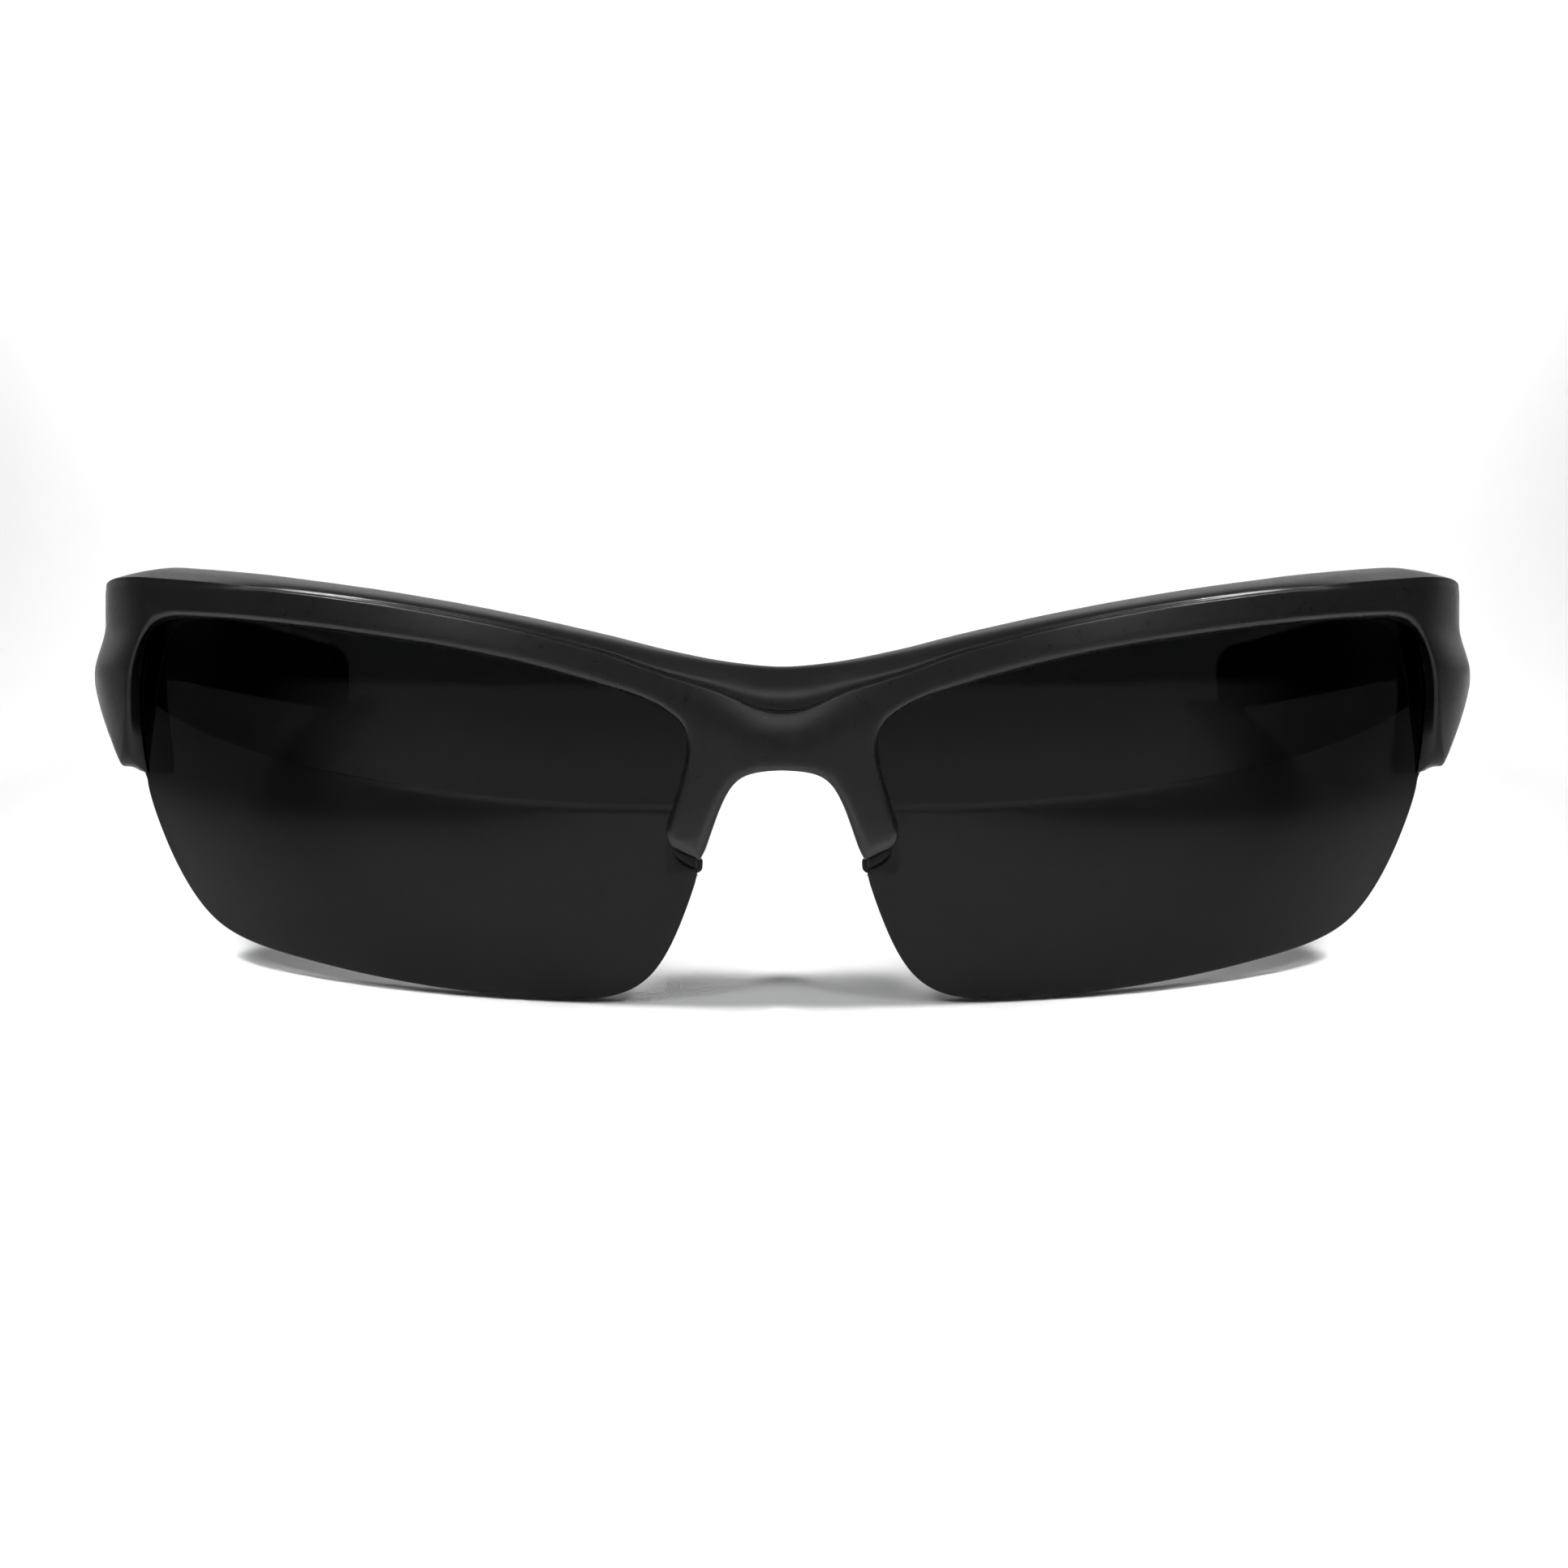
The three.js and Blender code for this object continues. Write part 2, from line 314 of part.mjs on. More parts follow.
function padGeometry() {
  const zs = [[-8.6, 0.3], [-8.35, 0.62], [-7.7, 0.86], [-6.7, 0.97], [-5.2, 1], [-3, 1], [-0.5, 0.98], [2, 0.92], [3.5, 0.8], [4.4, 0.58], [4.7, 0.3]];
  const body = solid(loft(zs.map(([z, f]) => padSection(z, f))));
  const shape = new THREE.Shape(TOE.map(p => new THREE.Vector2(p[0], p[1])));
  const toe = new THREE.ExtrudeGeometry(shape, { depth: 7.2, bevelEnabled: false, steps: 1 }).rotateX(Math.PI / 2).translate(0, 10.8, 0);
  const slot = solid(loft([-5.6, -2, 3.0].map(z => lugSection(z, 0.3))));
  return fromSolid(body.subtract(slot).add(solid(toe)));
}
const lugGeometry = () => loft([-5.0, -2, 2.6].map(z => lugSection(z, 0)));

// ---------------------------------------------------------------- hinge
function frontLeaf() {
  let m = solid(box(LEAF_X[0], LEAF_X[1], 31.2, 36.2, 12.6, 19.4));
  for (const [a, b] of [KNUCKLES[0], KNUCKLES[2]]) m = m.add(solid(box(LEAF_X[0], LEAF_X[1], 36.0, HINGE_Y, a, b))).add(solid(rod(KNUCKLE_R, HINGE_X, HINGE_Y, a, b)));
  m = m.subtract(solid(rod(KNUCKLE_BORE, HINGE_X, HINGE_Y, 11, 21)));
  for (const z of SCREW_Z) m = m.subtract(solid(rodX(0.85, 60, 65, 33.3, z)));
  return fromSolid(m);
}
function templeLeaf() {
  const [a, b] = KNUCKLES[1];
  let m = solid(box(LEAF_X[0], LEAF_X[1], 40.8, 46.6, 12.6, 19.4)).add(solid(box(LEAF_X[0], LEAF_X[1], HINGE_Y, 41.0, a, b))).add(solid(rod(KNUCKLE_R, HINGE_X, HINGE_Y, a, b)));
  m = m.subtract(solid(rod(KNUCKLE_BORE, HINGE_X, HINGE_Y, 11, 21)));
  for (const z of SCREW_Z) m = m.subtract(solid(rodX(0.85, 60, 65, 44.2, z)));
  return fromSolid(m);
}
function leafScrew(y, z) {
  const profile = [[0, 62.2], [0.9, 62.2], [SCREW_HEAD_R, 62.4], [SCREW_HEAD_R, 62.8], [SCREW_R, 62.8], [SCREW_R, SCREW_END_X - 0.5], [0, SCREW_END_X]];
  return new THREE.LatheGeometry(profile.map(p => new THREE.Vector2(p[0], p[1])), 12).rotateZ(-Math.PI / 2).translate(0, y, z);
}
function pivotScrew() {
  const zb = KNUCKLES[0][0] + 0.2, zt = KNUCKLES[2][1] + 0.1;
  const profile = [[0, zb], [PIN_R, zb + 0.3], [PIN_R, zt], [1.25, zt], [1.25, zt + 0.35], [0.95, zt + 0.6], [0, zt + 0.6]];
  return new THREE.LatheGeometry(profile.map(p => new THREE.Vector2(p[0], p[1])), 16).rotateX(Math.PI / 2).translate(HINGE_X, HINGE_Y, 0);
}

// ---------------------------------------------------------------- build
const up = new THREE.Group();      // worn coordinates: the lenses look along -Y
const add = (name, g, m) => {
  const geo = g.index ? g : mergeVertices(g);
  geo.computeVertexNormals();
  const mesh = new THREE.Mesh(geo, new THREE.MeshStandardMaterial(m));
  mesh.name = name;
  up.add(mesh);
};
const pair = (name, g, m) => { add(name + '_left', g, m); add(name + '_right', mirrored(g), m); };
const closed = g => fromSolid(solid(g));

let front = solid(layered(frontLevels(), warp, s => Math.abs(s) > 64 ? 3.0 : 5.0));
const cuts = [box(-90, 90, SPLIT_Y, 70, -5, 40)];
for (const g of both(lensGeometry(GROOVE_GAP))) cuts.push(g);
for (const g of [box(58, SEAT_X, 30.8, SPLIT_Y + 1, 11.9, 20.1), rod(2.2, HINGE_X, HINGE_Y, 11.9, 24, 20), rodX(0.8, 62, 66.9, 33.3, SCREW_Z[0]), rodX(0.8, 62, 66.9, 33.3, SCREW_Z[1])]) cuts.push(...both(g));
for (const c of cuts) front = front.subtract(solid(c));
for (const g of both(lugGeometry())) front = front.add(solid(g));
add('frame_front', fromSolid(front), NYLON);

pair('lens', closed(lensGeometry(0)), LENS);
pair('nose_pad', padGeometry(), RUBBER);

// temple body with its narrower core, made as one piece
const bodyYs = [TEMPLE_Y0, 42, 45.5, 49, 53, 58, 64, 70, 76, 82, 88, 94, SLEEVE_Y0 - 0.3];
let arm = solid(loft(bodyYs.map(y => templeSection(y)))).add(solid(loft([95, ...steps(101, 138, 6)].map(y => coreSection(y)))));
for (const g of [rod(2.2, HINGE_X, HINGE_Y, 5, 30, 20), rodX(0.8, 62, 66.9, 44.2, SCREW_Z[0]), rodX(0.8, 62, 66.9, 44.2, SCREW_Z[1])]) arm = arm.subtract(solid(g));
pair('temple', fromSolid(arm), NYLON);

const sleeveYs = [SLEEVE_Y0, 108, 115, 122, 129, 136, 142];
const tip = [...sleeveYs.map(y => templeSection(y, 0.12)), shrink(templeSection(144.2), 0.93, 144.2), shrink(templeSection(145.4), 0.72, 145.4), shrink(templeSection(END_Y), 0.38, END_Y)];
let sleeve = solid(loft(tip)).subtract(solid(loft([90, 101, 107, 113, 119, 125, 131, 138.4].map(y => coreSection(y, SLEEVE_GAP)))));

pair('hinge_front_leaf', frontLeaf(), STEEL);
pair('hinge_temple_leaf', templeLeaf(), STEEL);
pair('hinge_pivot_screw', closed(pivotScrew()), STEEL);
for (const [k, z] of [['lower', SCREW_Z[0]], ['upper', SCREW_Z[1]]]) {
  pair('front_leaf_screw_' + k, closed(leafScrew(33.3, z)), STEEL);
  pair('temple_leaf_screw_' + k, closed(leafScrew(44.2, z)), STEEL);
}

// stand it on a level surface: tip it by TILT, rest the lens edges on z = 0, and dress the
// undersides of the sleeves flat where they touch
const tilt = new THREE.Matrix4().makeRotationX(-TILT);
let low = Infinity;
const v = new THREE.Vector3();
for (const m of up.children) if (m.name.startsWith('lens')) { const p = m.geometry.attributes.position; for (let i = 0; i < p.count; i++) low = Math.min(low, v.fromBufferAttribute(p, i).applyMatrix4(tilt).z); }
const floorCut = box(-80, 80, 60, 200, -20, 0).applyMatrix4(new THREE.Matrix4().makeTranslation(0, 0, low).premultiply(tilt.clone().invert()));
sleeve = sleeve.subtract(solid(floorCut));
pair('temple_tip', fromSolid(sleeve), RUBBER);

const bounds = new THREE.Box3();
for (const m of up.children) { const p = m.geometry.attributes.position; for (let i = 0; i < p.count; i++) bounds.expandByPoint(v.fromBufferAttribute(p, i).applyMatrix4(tilt)); }
up.rotation.x = -TILT;
up.position.set(0, -(bounds.min.y + bounds.max.y) / 2, -low);

const sunglasses = new THREE.Group();
sunglasses.add(up);
sunglasses.updateMatrixWorld(true);
export default sunglasses;
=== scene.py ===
import json
import math
from itertools import product

import bpy
import numpy as np
from mathutils import Matrix, Vector, geometry


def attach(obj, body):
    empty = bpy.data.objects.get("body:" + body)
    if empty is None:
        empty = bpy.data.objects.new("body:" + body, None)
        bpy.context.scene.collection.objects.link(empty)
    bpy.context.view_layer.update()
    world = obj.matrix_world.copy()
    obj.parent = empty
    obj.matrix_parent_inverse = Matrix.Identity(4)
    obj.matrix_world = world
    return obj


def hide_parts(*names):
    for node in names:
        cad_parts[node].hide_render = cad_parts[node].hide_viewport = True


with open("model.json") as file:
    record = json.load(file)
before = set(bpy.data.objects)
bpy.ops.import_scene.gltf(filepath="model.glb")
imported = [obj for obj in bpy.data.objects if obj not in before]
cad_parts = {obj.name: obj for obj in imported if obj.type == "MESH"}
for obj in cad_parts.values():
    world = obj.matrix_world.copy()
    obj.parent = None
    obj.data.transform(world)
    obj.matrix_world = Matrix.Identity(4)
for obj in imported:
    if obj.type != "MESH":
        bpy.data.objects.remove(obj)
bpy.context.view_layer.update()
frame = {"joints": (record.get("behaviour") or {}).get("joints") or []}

scene = bpy.context.scene

# ------------------------------------------------------------------ frames
# W is the worn frame in millimetres: X to the wearer's left, Y back, Z up.
# The row frame is W tipped back by TILT and set down on the floor, in metres.
TILT = math.radians(12.85)
SN, CS = math.sin(TILT), math.cos(TILT)
HX, HY = 62.8, 38.5
_j = [j for j in frame["joints"] if j["name"] == "temple_left_fold"][0]["pos_m"]
PY = _j[1] * 1000 - (HY * CS + 16.0 * SN)
PZ = _j[2] * 1000 - (-HY * SN + 16.0 * CS)


def row(V):
    """worn millimetres to row metres"""
    V = np.asarray(V, float)
    x, y, z = V[..., 0], V[..., 1], V[..., 2]
    return np.stack([x, y * CS + z * SN + PY, -y * SN + z * CS + PZ], -1) / 1000.0


def unrow_z(V, zmin):
    """lift worn points that would be under the floor up to it"""
    z = -V[..., 1] * SN + V[..., 2] * CS + PZ
    d = np.maximum(zmin - z, 0)
    V = V.copy()
    V[..., 1] -= d * SN
    V[..., 2] += d * CS
    return V


# ------------------------------------------------------------------ plan of the front (same numbers as the CAD)
R, XC, ZC, Y0 = 66.0, 12.3, 6.0, 2.0
TH1, RC, TH2 = math.radians(50.5), 21.0, math.radians(85.0)
S1 = XC + R * TH1
S2 = S1 + RC * (TH2 - TH1)
X1, Y1 = XC + R * math.sin(TH1), Y0 + R * (1 - math.cos(TH1))
X2, Y2 = X1 + RC * (math.sin(TH2) - math.sin(TH1)), Y1 + RC * (math.cos(TH1) - math.cos(TH2))


def sm(a, b, x):
    u = np.clip((np.asarray(x, float) - a) / (b - a), 0, 1)
    return u * u * (3 - 2 * u)


def plan(s):
    th = np.where(s < XC, 0, np.where(s < S1, (s - XC) / R, np.where(s < S2, TH1 + (s - S1) / RC, TH2)))
    x = np.where(s < XC, s, np.where(s < S1, XC + R * np.sin(th), np.where(s < S2, X1 + RC * (np.sin(th) - math.sin(TH1)), X2 + (s - S2) * math.cos(TH2))))
    y = np.where(s < XC, Y0, np.where(s < S1, Y0 + R * (1 - np.cos(th)), np.where(s < S2, Y1 + RC * (math.cos(TH1) - np.cos(th)), Y2 + (s - S2) * math.sin(TH2))))
    return x, y, th


def lens_sag(z):
    return np.sqrt(R * R - (z - ZC) ** 2) - R


def corner_sag(z):
    return 0.28 - 1.1 * sm(11.2, 16.2, z) - 0.68 * (1 - sm(2.0, 11.4, z))


def warp(s, z, t):
    a = np.abs(s)
    x, y, th = plan(a)
    w = sm(66, 80, a)
    tt = t + (1 - w) * lens_sag(z) + w * corner_sag(z)
    return np.stack([np.where(s < 0, -1.0, 1.0) * (x + np.sin(th) * tt), y - np.cos(th) * tt, z], -1)


def warp_lens(s, z, t):
    a = (np.abs(s) - XC) / R
    r = np.sqrt((R + t) ** 2 - (z - ZC) ** 2)
    return np.stack([np.where(s < 0, -1.0, 1.0) * (XC + np.sin(a) * r), Y0 + R - np.cos(a) * r, z], -1)


# ------------------------------------------------------------------ curves
def spline(pts, step, closed=False):
    """centripetal Catmull-Rom through 2-D points, resampled evenly"""
    P = np.asarray(pts, float)
    if closed:
        P = np.vstack([P[-1], P, P[0], P[1]])
    else:
        P = np.vstack([2 * P[0] - P[1], P, 2 * P[-1] - P[-2]])
    out = []
    for i in range(1, len(P) - 2):
        p0, p1, p2, p3 = P[i - 1:i + 3]
        t = [0]
        for a, b in ((p0, p1), (p1, p2), (p2, p3)):
            t.append(t[-1] + max(np.linalg.norm(b - a), 1e-9) ** 0.5)
        u = np.linspace(t[1], t[2], 24, endpoint=False)[:, None]
        A1 = (t[1] - u) / (t[1] - t[0]) * p0 + (u - t[0]) / (t[1] - t[0]) * p1
        A2 = (t[2] - u) / (t[2] - t[1]) * p1 + (u - t[1]) / (t[2] - t[1]) * p2
        A3 = (t[3] - u) / (t[3] - t[2]) * p2 + (u - t[2]) / (t[3] - t[2]) * p3
        B1 = (t[2] - u) / (t[2] - t[0]) * A1 + (u - t[0]) / (t[2] - t[0]) * A2
        B2 = (t[3] - u) / (t[3] - t[1]) * A2 + (u - t[1]) / (t[3] - t[1]) * A3
        out.append((t[2] - u) / (t[2] - t[1]) * B1 + (u - t[1]) / (t[2] - t[1]) * B2)
    out = np.vstack(out + [P[-2][None]])
    d = np.r_[0, np.cumsum(np.linalg.norm(np.diff(out, axis=0), axis=1))]
    n = max(2, int(round(d[-1] / step)))
    q = np.linspace(0, d[-1], n + 1)
    res = np.stack([np.interp(q, d, out[:, k]) for k in (0, 1)], 1)
    return res[:-1] if closed else res


def relax(P, rounds, closed=False):
    """evens out small waves in a resampled curve, its ends held"""
    P = P.copy()
    for _ in range(rounds):
        Q = P.copy()
        if closed:
            Q = 0.5 * P + 0.25 * (np.roll(P, 1, 0) + np.roll(P, -1, 0))
        else:
            Q[1:-1] = 0.5 * P[1:-1] + 0.25 * (P[:-2] + P[2:])
        P = Q
    return P


def table(pts):
    """smooth function through table points without overshoot"""
    X = np.array([p[0] for p in pts], float)
    Y = np.array([p[1] for p in pts], float)
    d = np.diff(Y) / np.diff(X)
    m = np.r_[d[0], np.where(d[:-1] * d[1:] <= 0, 0, 2 * d[:-1] * d[1:] / np.where(d[:-1] + d[1:] == 0, 1, d[:-1] + d[1:])), d[-1]]

    def f(x):
        x = np.clip(np.asarray(x, float), X[0], X[-1])
        i = np.clip(np.searchsorted(X, x, side="right") - 1, 0, len(X) - 2)
        h = X[i + 1] - X[i]
        u = (x - X[i]) / h
        return Y[i] * (1 + 2 * u) * (1 - u) ** 2 + m[i] * h * u * (1 - u) ** 2 + Y[i + 1] * u * u * (3 - 2 * u) + m[i + 1] * h * u * u * (u - 1)
    return f


TOP_PTS = [(0, 11.28), (3.13, 11.56), (6.27, 11.99), (9.4, 12.62), (12.54, 13.32), (15.76, 14.15), (19.81, 15.06), (23.93, 15.94), (28.13, 16.76), (32.45, 17.54), (36.91, 18.26), (41.57, 18.95), (46.47, 19.58), (51.69, 20.18), (57.35, 20.78), (63.6, 21.28), (69.08, 21.65), (72.74, 21.84), (75.43, 21.72), (78, 21.35), (80.5, 20.98), (83.5, 20.75), (88, 20.6)]
CREASE_PTS = [(0, 6.86), (1.56, 7.0), (3.12, 7.52), (6.24, 8.97), (9.36, 9.95), (12.48, 10.92), (15.55, 12.13), (20.2, 13.51), (26.54, 15.18), (33.12, 16.49), (40.05, 17.59), (47.52, 18.57), (55.8, 19.51), (62.83, 20.14), (68.08, 20.51), (73.73, 20.82), (76.5, 20.8), (80.5, 20.45), (83.5, 20.2), (88, 20.1)]
NOSE_SIDE = [(0, 1.29), (1.57, 1.21), (3.13, 0.94), (4.19, 0.47), (4.93, -0.31), (5.4, -1.1), (5.79, -1.88), (6.11, -2.66), (6.42, -3.45), (6.66, -4.23), (6.97, -5.02), (7.21, -5.8), (7.49, -6.59), (7.96, -7.33)]
NASAL = [(10.64, -6.1), (10.95, -5.71), (11.18, -5.01), (11.12, -4.46), (10.79, -3.44), (10.2, -1.64), (9.59, 0.55), (9.19, 2.34), (9.08, 3.75), (9.22, 4.84), (9.76, 5.94), (10.78, 6.8), (12.07, 7.65), (14.12, 8.59)]
BROW = [(14.12, 8.59), (15.62, 9.0), (20.34, 10.33), (26.76, 11.99), (33.42, 13.29), (40.42, 14.32), (47.98, 15.3), (56.34, 16.09), (60.36, 16.34), (65.36, 16.56)]
TEMPORAL = [(65.36, 16.56), (68.42, 16.31), (70.6, 15.7), (71.64, 14.9), (72.19, 13.53), (72.43, 11.49), (72.57, 9.45), (72.4, 7.74), (71.95, 5.38), (71.5, 3.01), (71.3, 1.9), (71.2, 1.0)]
RIDGE = [(65.36, 16.88), (67.9, 16.62), (69.4, 15.95), (70.1, 14.95), (70.62, 13.4), (71.2, 11.6), (71.42, 9.6), (71.56, 7.72), (72.08, 5.37), (72.7, 3.3), (73.15, 2.2)]
END_UNDER = [(73.9, 1.75), (74.9, 2.6), (75.8, 3.6), (76.7, 4.45), (77.5, 5.27), (78.3, 6.1), (79.1, 6.95), (79.9, 7.8), (80.7, 8.6), (81.6, 9.3), (82.8, 9.75), (84.5, 10.1), (86, 10.4), (88, 10.7)]
LENS_FREE = [(71.61, 0.49), (71.11, -1.14), (70.52, -2.77), (69.71, -4.39), (69.04, -6.01), (68.15, -7.63), (67.26, -9.25), (66.09, -10.86), (64.72, -12.47), (62.52, -14.07), (58.34, -15.63), (51.62, -17.14), (43.52, -18.64), (35.62, -19.76), (29.29, -20.38), (24.86, -20.71), (20.47, -20.85), (17.84, -20.6), (15.27, -20.04), (13.71, -19.24), (12.8, -18.44), (12.12, -17.64), (11.56, -16.84), (10.69, -15.26), (9.99, -13.67), (9.35, -12.09), (8.79, -10.51), (8.28, -8.94), (8.09, -8.23)]
LENS_NOTCH = [(8.09, -8.23), (8.78, -8.07), (9.58, -7.64), (10.14, -7.21), (10.42, -6.74), (10.51, -6.27)]
LENS_HIDDEN = [(10.51, -6.27), (10.15, -5.5), (9.85, -4.4), (9.4, -3.0), (8.9, -1.6), (8.3, 0.6), (7.95, 2.34), (7.85, 3.75), (8.0, 5.2), (8.6, 6.8), (9.8, 8.1), (11.4, 9.1), (13.6, 10.0), (15.4, 10.45), (20.2, 11.8), (26.6, 13.45), (33.3, 14.75), (40.3, 15.75), (47.9, 16.75), (56.3, 17.55), (60.3, 17.8), (65.4, 18.0), (69.0, 17.7), (71.5, 16.9), (72.9, 15.6), (73.5, 13.6), (73.65, 11.5), (73.7, 9.4), (73.6, 7.7), (73.4, 5.4), (73.0, 3.0), (72.3, 1.6), (71.61, 0.49)]

_s = np.linspace(0, 88, 881)


def smooth_table(pts, mm):
    y = table(pts)(_s)
    k = np.exp(-0.5 * (np.arange(-30, 31) * 0.1 / mm) ** 2)
    k /= k.sum()
    ext = np.r_[y[30:0:-1], y, 2 * y[-1] - y[-2:-32:-1]]
    v = np.convolve(ext, k, mode="valid")
    return lambda s: np.interp(np.abs(s), _s, v)


z_top, z_crease = smooth_table(TOP_PTS, 1.2), smooth_table(CREASE_PTS, 0.7)


# ------------------------------------------------------------------ distance fields and their meshes
def polygon_field(P, A, S, Z):
    """signed distance to a closed outline, inside positive, on the grid S x Z or at given points, and the attribute A of the nearest place"""
    P = np.asarray(P, float)
    Q = np.roll(P, -1, 0)
    B = np.roll(A, -1)
    gx, gz = (S, Z) if np.ndim(S) == 2 else np.meshgrid(S, Z, indexing="ij")
    x, z = gx.ravel().astype(np.float32), gz.ravel().astype(np.float32)
    best = np.full(x.shape, 1e9, np.float32)
    att = np.zeros(x.shape, np.float32)
    inside = np.zeros(x.shape, bool)
    for (ax, az), (bx, bz), a0, b0 in zip(P, Q, A, B):
        dx, dz = bx - ax, bz - az
        L = dx * dx + dz * dz
        if L < 1e-12:
            continue
        u = np.clip(((x - ax) * dx + (z - az) * dz) / L, 0, 1)
        d = (x - ax - u * dx) ** 2 + (z - az - u * dz) ** 2
        m = d < best
        best[m] = d[m]
        att[m] = (a0 + (b0 - a0) * u[m])
        if dz != 0:
            cross = ((az > z) != (bz > z)) & (x < ax + dx * (z - az) / dz)
            inside ^= cross
    D = np.sqrt(best)
    return np.where(inside, D, -D).reshape(gx.shape), att.reshape(gx.shape)


def smin(a, b, k):
    """the lesser of two fields, their edge rounded over a width k"""
    h = np.maximum(k - np.abs(a - b), 0) / np.maximum(k, 1e-6)
    return np.minimum(a, b) - h * h * k * 0.25


def surface_net(F, o, h):
    """closed quad mesh of F = 0, faces pointing out of F > 0"""
    S = F > 0
    n = np.array(F.shape)
    c = np.zeros(n - 1, np.int8)
    for d in product((0, 1), repeat=3):
        c += S[d[0]:n[0] - 1 + d[0], d[1]:n[1] - 1 + d[1], d[2]:n[2] - 1 + d[2]]
    act = (c > 0) & (c < 8)
    cells = np.argwhere(act)
    idx = np.full(n - 1, -1, np.int32)
    idx[act] = np.arange(len(cells))
    acc, cnt = np.zeros((len(cells), 3)), np.zeros(len(cells))
    for ax in range(3):
        a, b = [q for q in range(3) if q != ax]
        for i, j in product((0, 1), repeat=2):
            p0 = cells.copy()
            p0[:, a] += i
            p0[:, b] += j
            p1 = p0.copy()
            p1[:, ax] += 1
            f0, f1 = F[tuple(p0.T)], F[tuple(p1.T)]
            m = (f0 > 0) != (f1 > 0)
            u = f0[m] / (f0[m] - f1[m])
            q = p0[m].astype(float)
            q[:, ax] += u
            acc[m] += q
            cnt[m] += 1
    V = acc / cnt[:, None]
    quads = []
    for ax in range(3):
        a, b = [q for q in range(3) if q != ax]
        lo = [slice(None)] * 3
        hi = [slice(None)] * 3
        lo[ax], hi[ax] = slice(0, -1), slice(1, None)
        s0 = S[tuple(lo)]
        E = np.argwhere(s0 != S[tuple(hi)])
        E = E[(E[:, a] >= 1) & (E[:, b] >= 1) & (E[:, a] <= n[a] - 2) & (E[:, b] <= n[b] - 2)]
        c11 = E
        c10, c01, c00 = E.copy(), E.copy(), E.copy()
        c10[:, b] -= 1
        c01[:, a] -= 1
        c00[:, a] -= 1
        c00[:, b] -= 1
        q = np.stack([idx[tuple(c.T)] for c in (c00, c10, c11, c01)], 1)
        outward = s0[tuple(E.T)]
        if ax == 1:
            outward = ~outward
        q[~outward] = q[~outward][:, ::-1]
        quads.append(q)
    Q = np.vstack(quads)
    V = settle(F, V, Q, 5 if h is None else 3)
    if h is None:
        return np.stack([np.interp(V[:, k], np.arange(n[k]), o[k]) for k in range(3)], 1), Q
    return np.asarray(o) + V * np.asarray(h), Q


def tri_sample(F, V):
    n = np.array(F.shape)
    i = np.clip(np.floor(V).astype(int), 0, n - 2)
    f = V - i
    out = 0
    for d in product((0, 1), repeat=3):
        w = np.prod([f[:, k] if d[k] else 1 - f[:, k] for k in range(3)], axis=0)
        out = out + w * F[i[:, 0] + d[0], i[:, 1] + d[1], i[:, 2] + d[2]]
    return out


def settle(F, V, Q, rounds=3):
    """evens the net out and brings it back to the surface"""
    E = np.vstack([Q[:, [0, 1]], Q[:, [1, 2]], Q[:, [2, 3]], Q[:, [3, 0]]])
    deg = np.bincount(E.ravel(), minlength=len(V)).astype(float)
    for k in range(rounds + 1):
        if k < rounds:
            A = np.zeros_like(V)
            for c in range(3):
                A[:, c] = np.bincount(E[:, 0], V[E[:, 1], c], len(V)) + np.bincount(E[:, 1], V[E[:, 0], c], len(V))
            V = V + 0.5 * (A / deg[:, None] - V)
        e = 0.35
        g = np.stack([tri_sample(F, V + np.eye(3)[c] * e) - tri_sample(F, V - np.eye(3)[c] * e) for c in range(3)], 1) / (2 * e)
        f = tri_sample(F, V)
        step = -(f / np.maximum((g * g).sum(1), 1e-4))[:, None] * g
        m = np.linalg.norm(step, axis=1, keepdims=True)
        V = V + step * np.minimum(1, 0.6 / np.maximum(m, 1e-9))
    return V


def new_mesh(name, V, faces, smooth=True, normals=None):
    """an object from row-frame points in metres; faces is an array of quads or a list"""
    me = bpy.data.meshes.new(name)
    V = np.asarray(V, np.float32)
    if isinstance(faces, np.ndarray):
        k = faces.shape[1]
        me.vertices.add(len(V))
        me.vertices.foreach_set("co", V.ravel())
        me.loops.add(faces.size)
        me.loops.foreach_set("vertex_index", faces.astype(np.int32).ravel())
        me.polygons.add(len(faces))
        me.polygons.foreach_set("loop_start", np.arange(0, faces.size, k, dtype=np.int32))
        me.update(calc_edges=True)
    else:
        me.from_pydata([tuple(v) for v in V.tolist()], [], [tuple(f) for f in faces])
        me.update(calc_edges=True)
    me.validate()
    if smooth:
        me.polygons.foreach_set("use_smooth", np.ones(len(me.polygons), bool))
    if normals is not None:
        me.normals_split_custom_set_from_vertices([tuple(n) for n in normals])
    ob = bpy.data.objects.new(name, me)
    scene.collection.objects.link(ob)
    return ob


def soften_normals(ob, limit=14.0, rounds=3):
    """shares normals along edges that turn by less than limit, so gentle faces read as one surface"""
    me = ob.data
    N = np.zeros(len(me.vertices) * 3, np.float32)
    me.vertex_normals.foreach_get("vector", N)
    N = N.reshape(-1, 3).astype(float)
    E = np.zeros(len(me.edges) * 2, np.int32)
    me.edges.foreach_get("vertices", E)
    E = E.reshape(-1, 2)
    keep = np.einsum("ij,ij->i", N[E[:, 0]], N[E[:, 1]]) > math.cos(math.radians(limit))
    a, b = E[keep, 0], E[keep, 1]
    for _ in range(rounds):
        A = np.stack([np.bincount(a, N[b, k], len(N)) + np.bincount(b, N[a, k], len(N)) for k in range(3)], 1)
        N = N + 0.5 * A
        N /= np.maximum(np.linalg.norm(N, axis=1, keepdims=True), 1e-9)
    me.normals_split_custom_set_from_vertices(N.tolist())


def mirror_x(V):
    V = V.copy()
    V[..., 0] *= -1
    return V


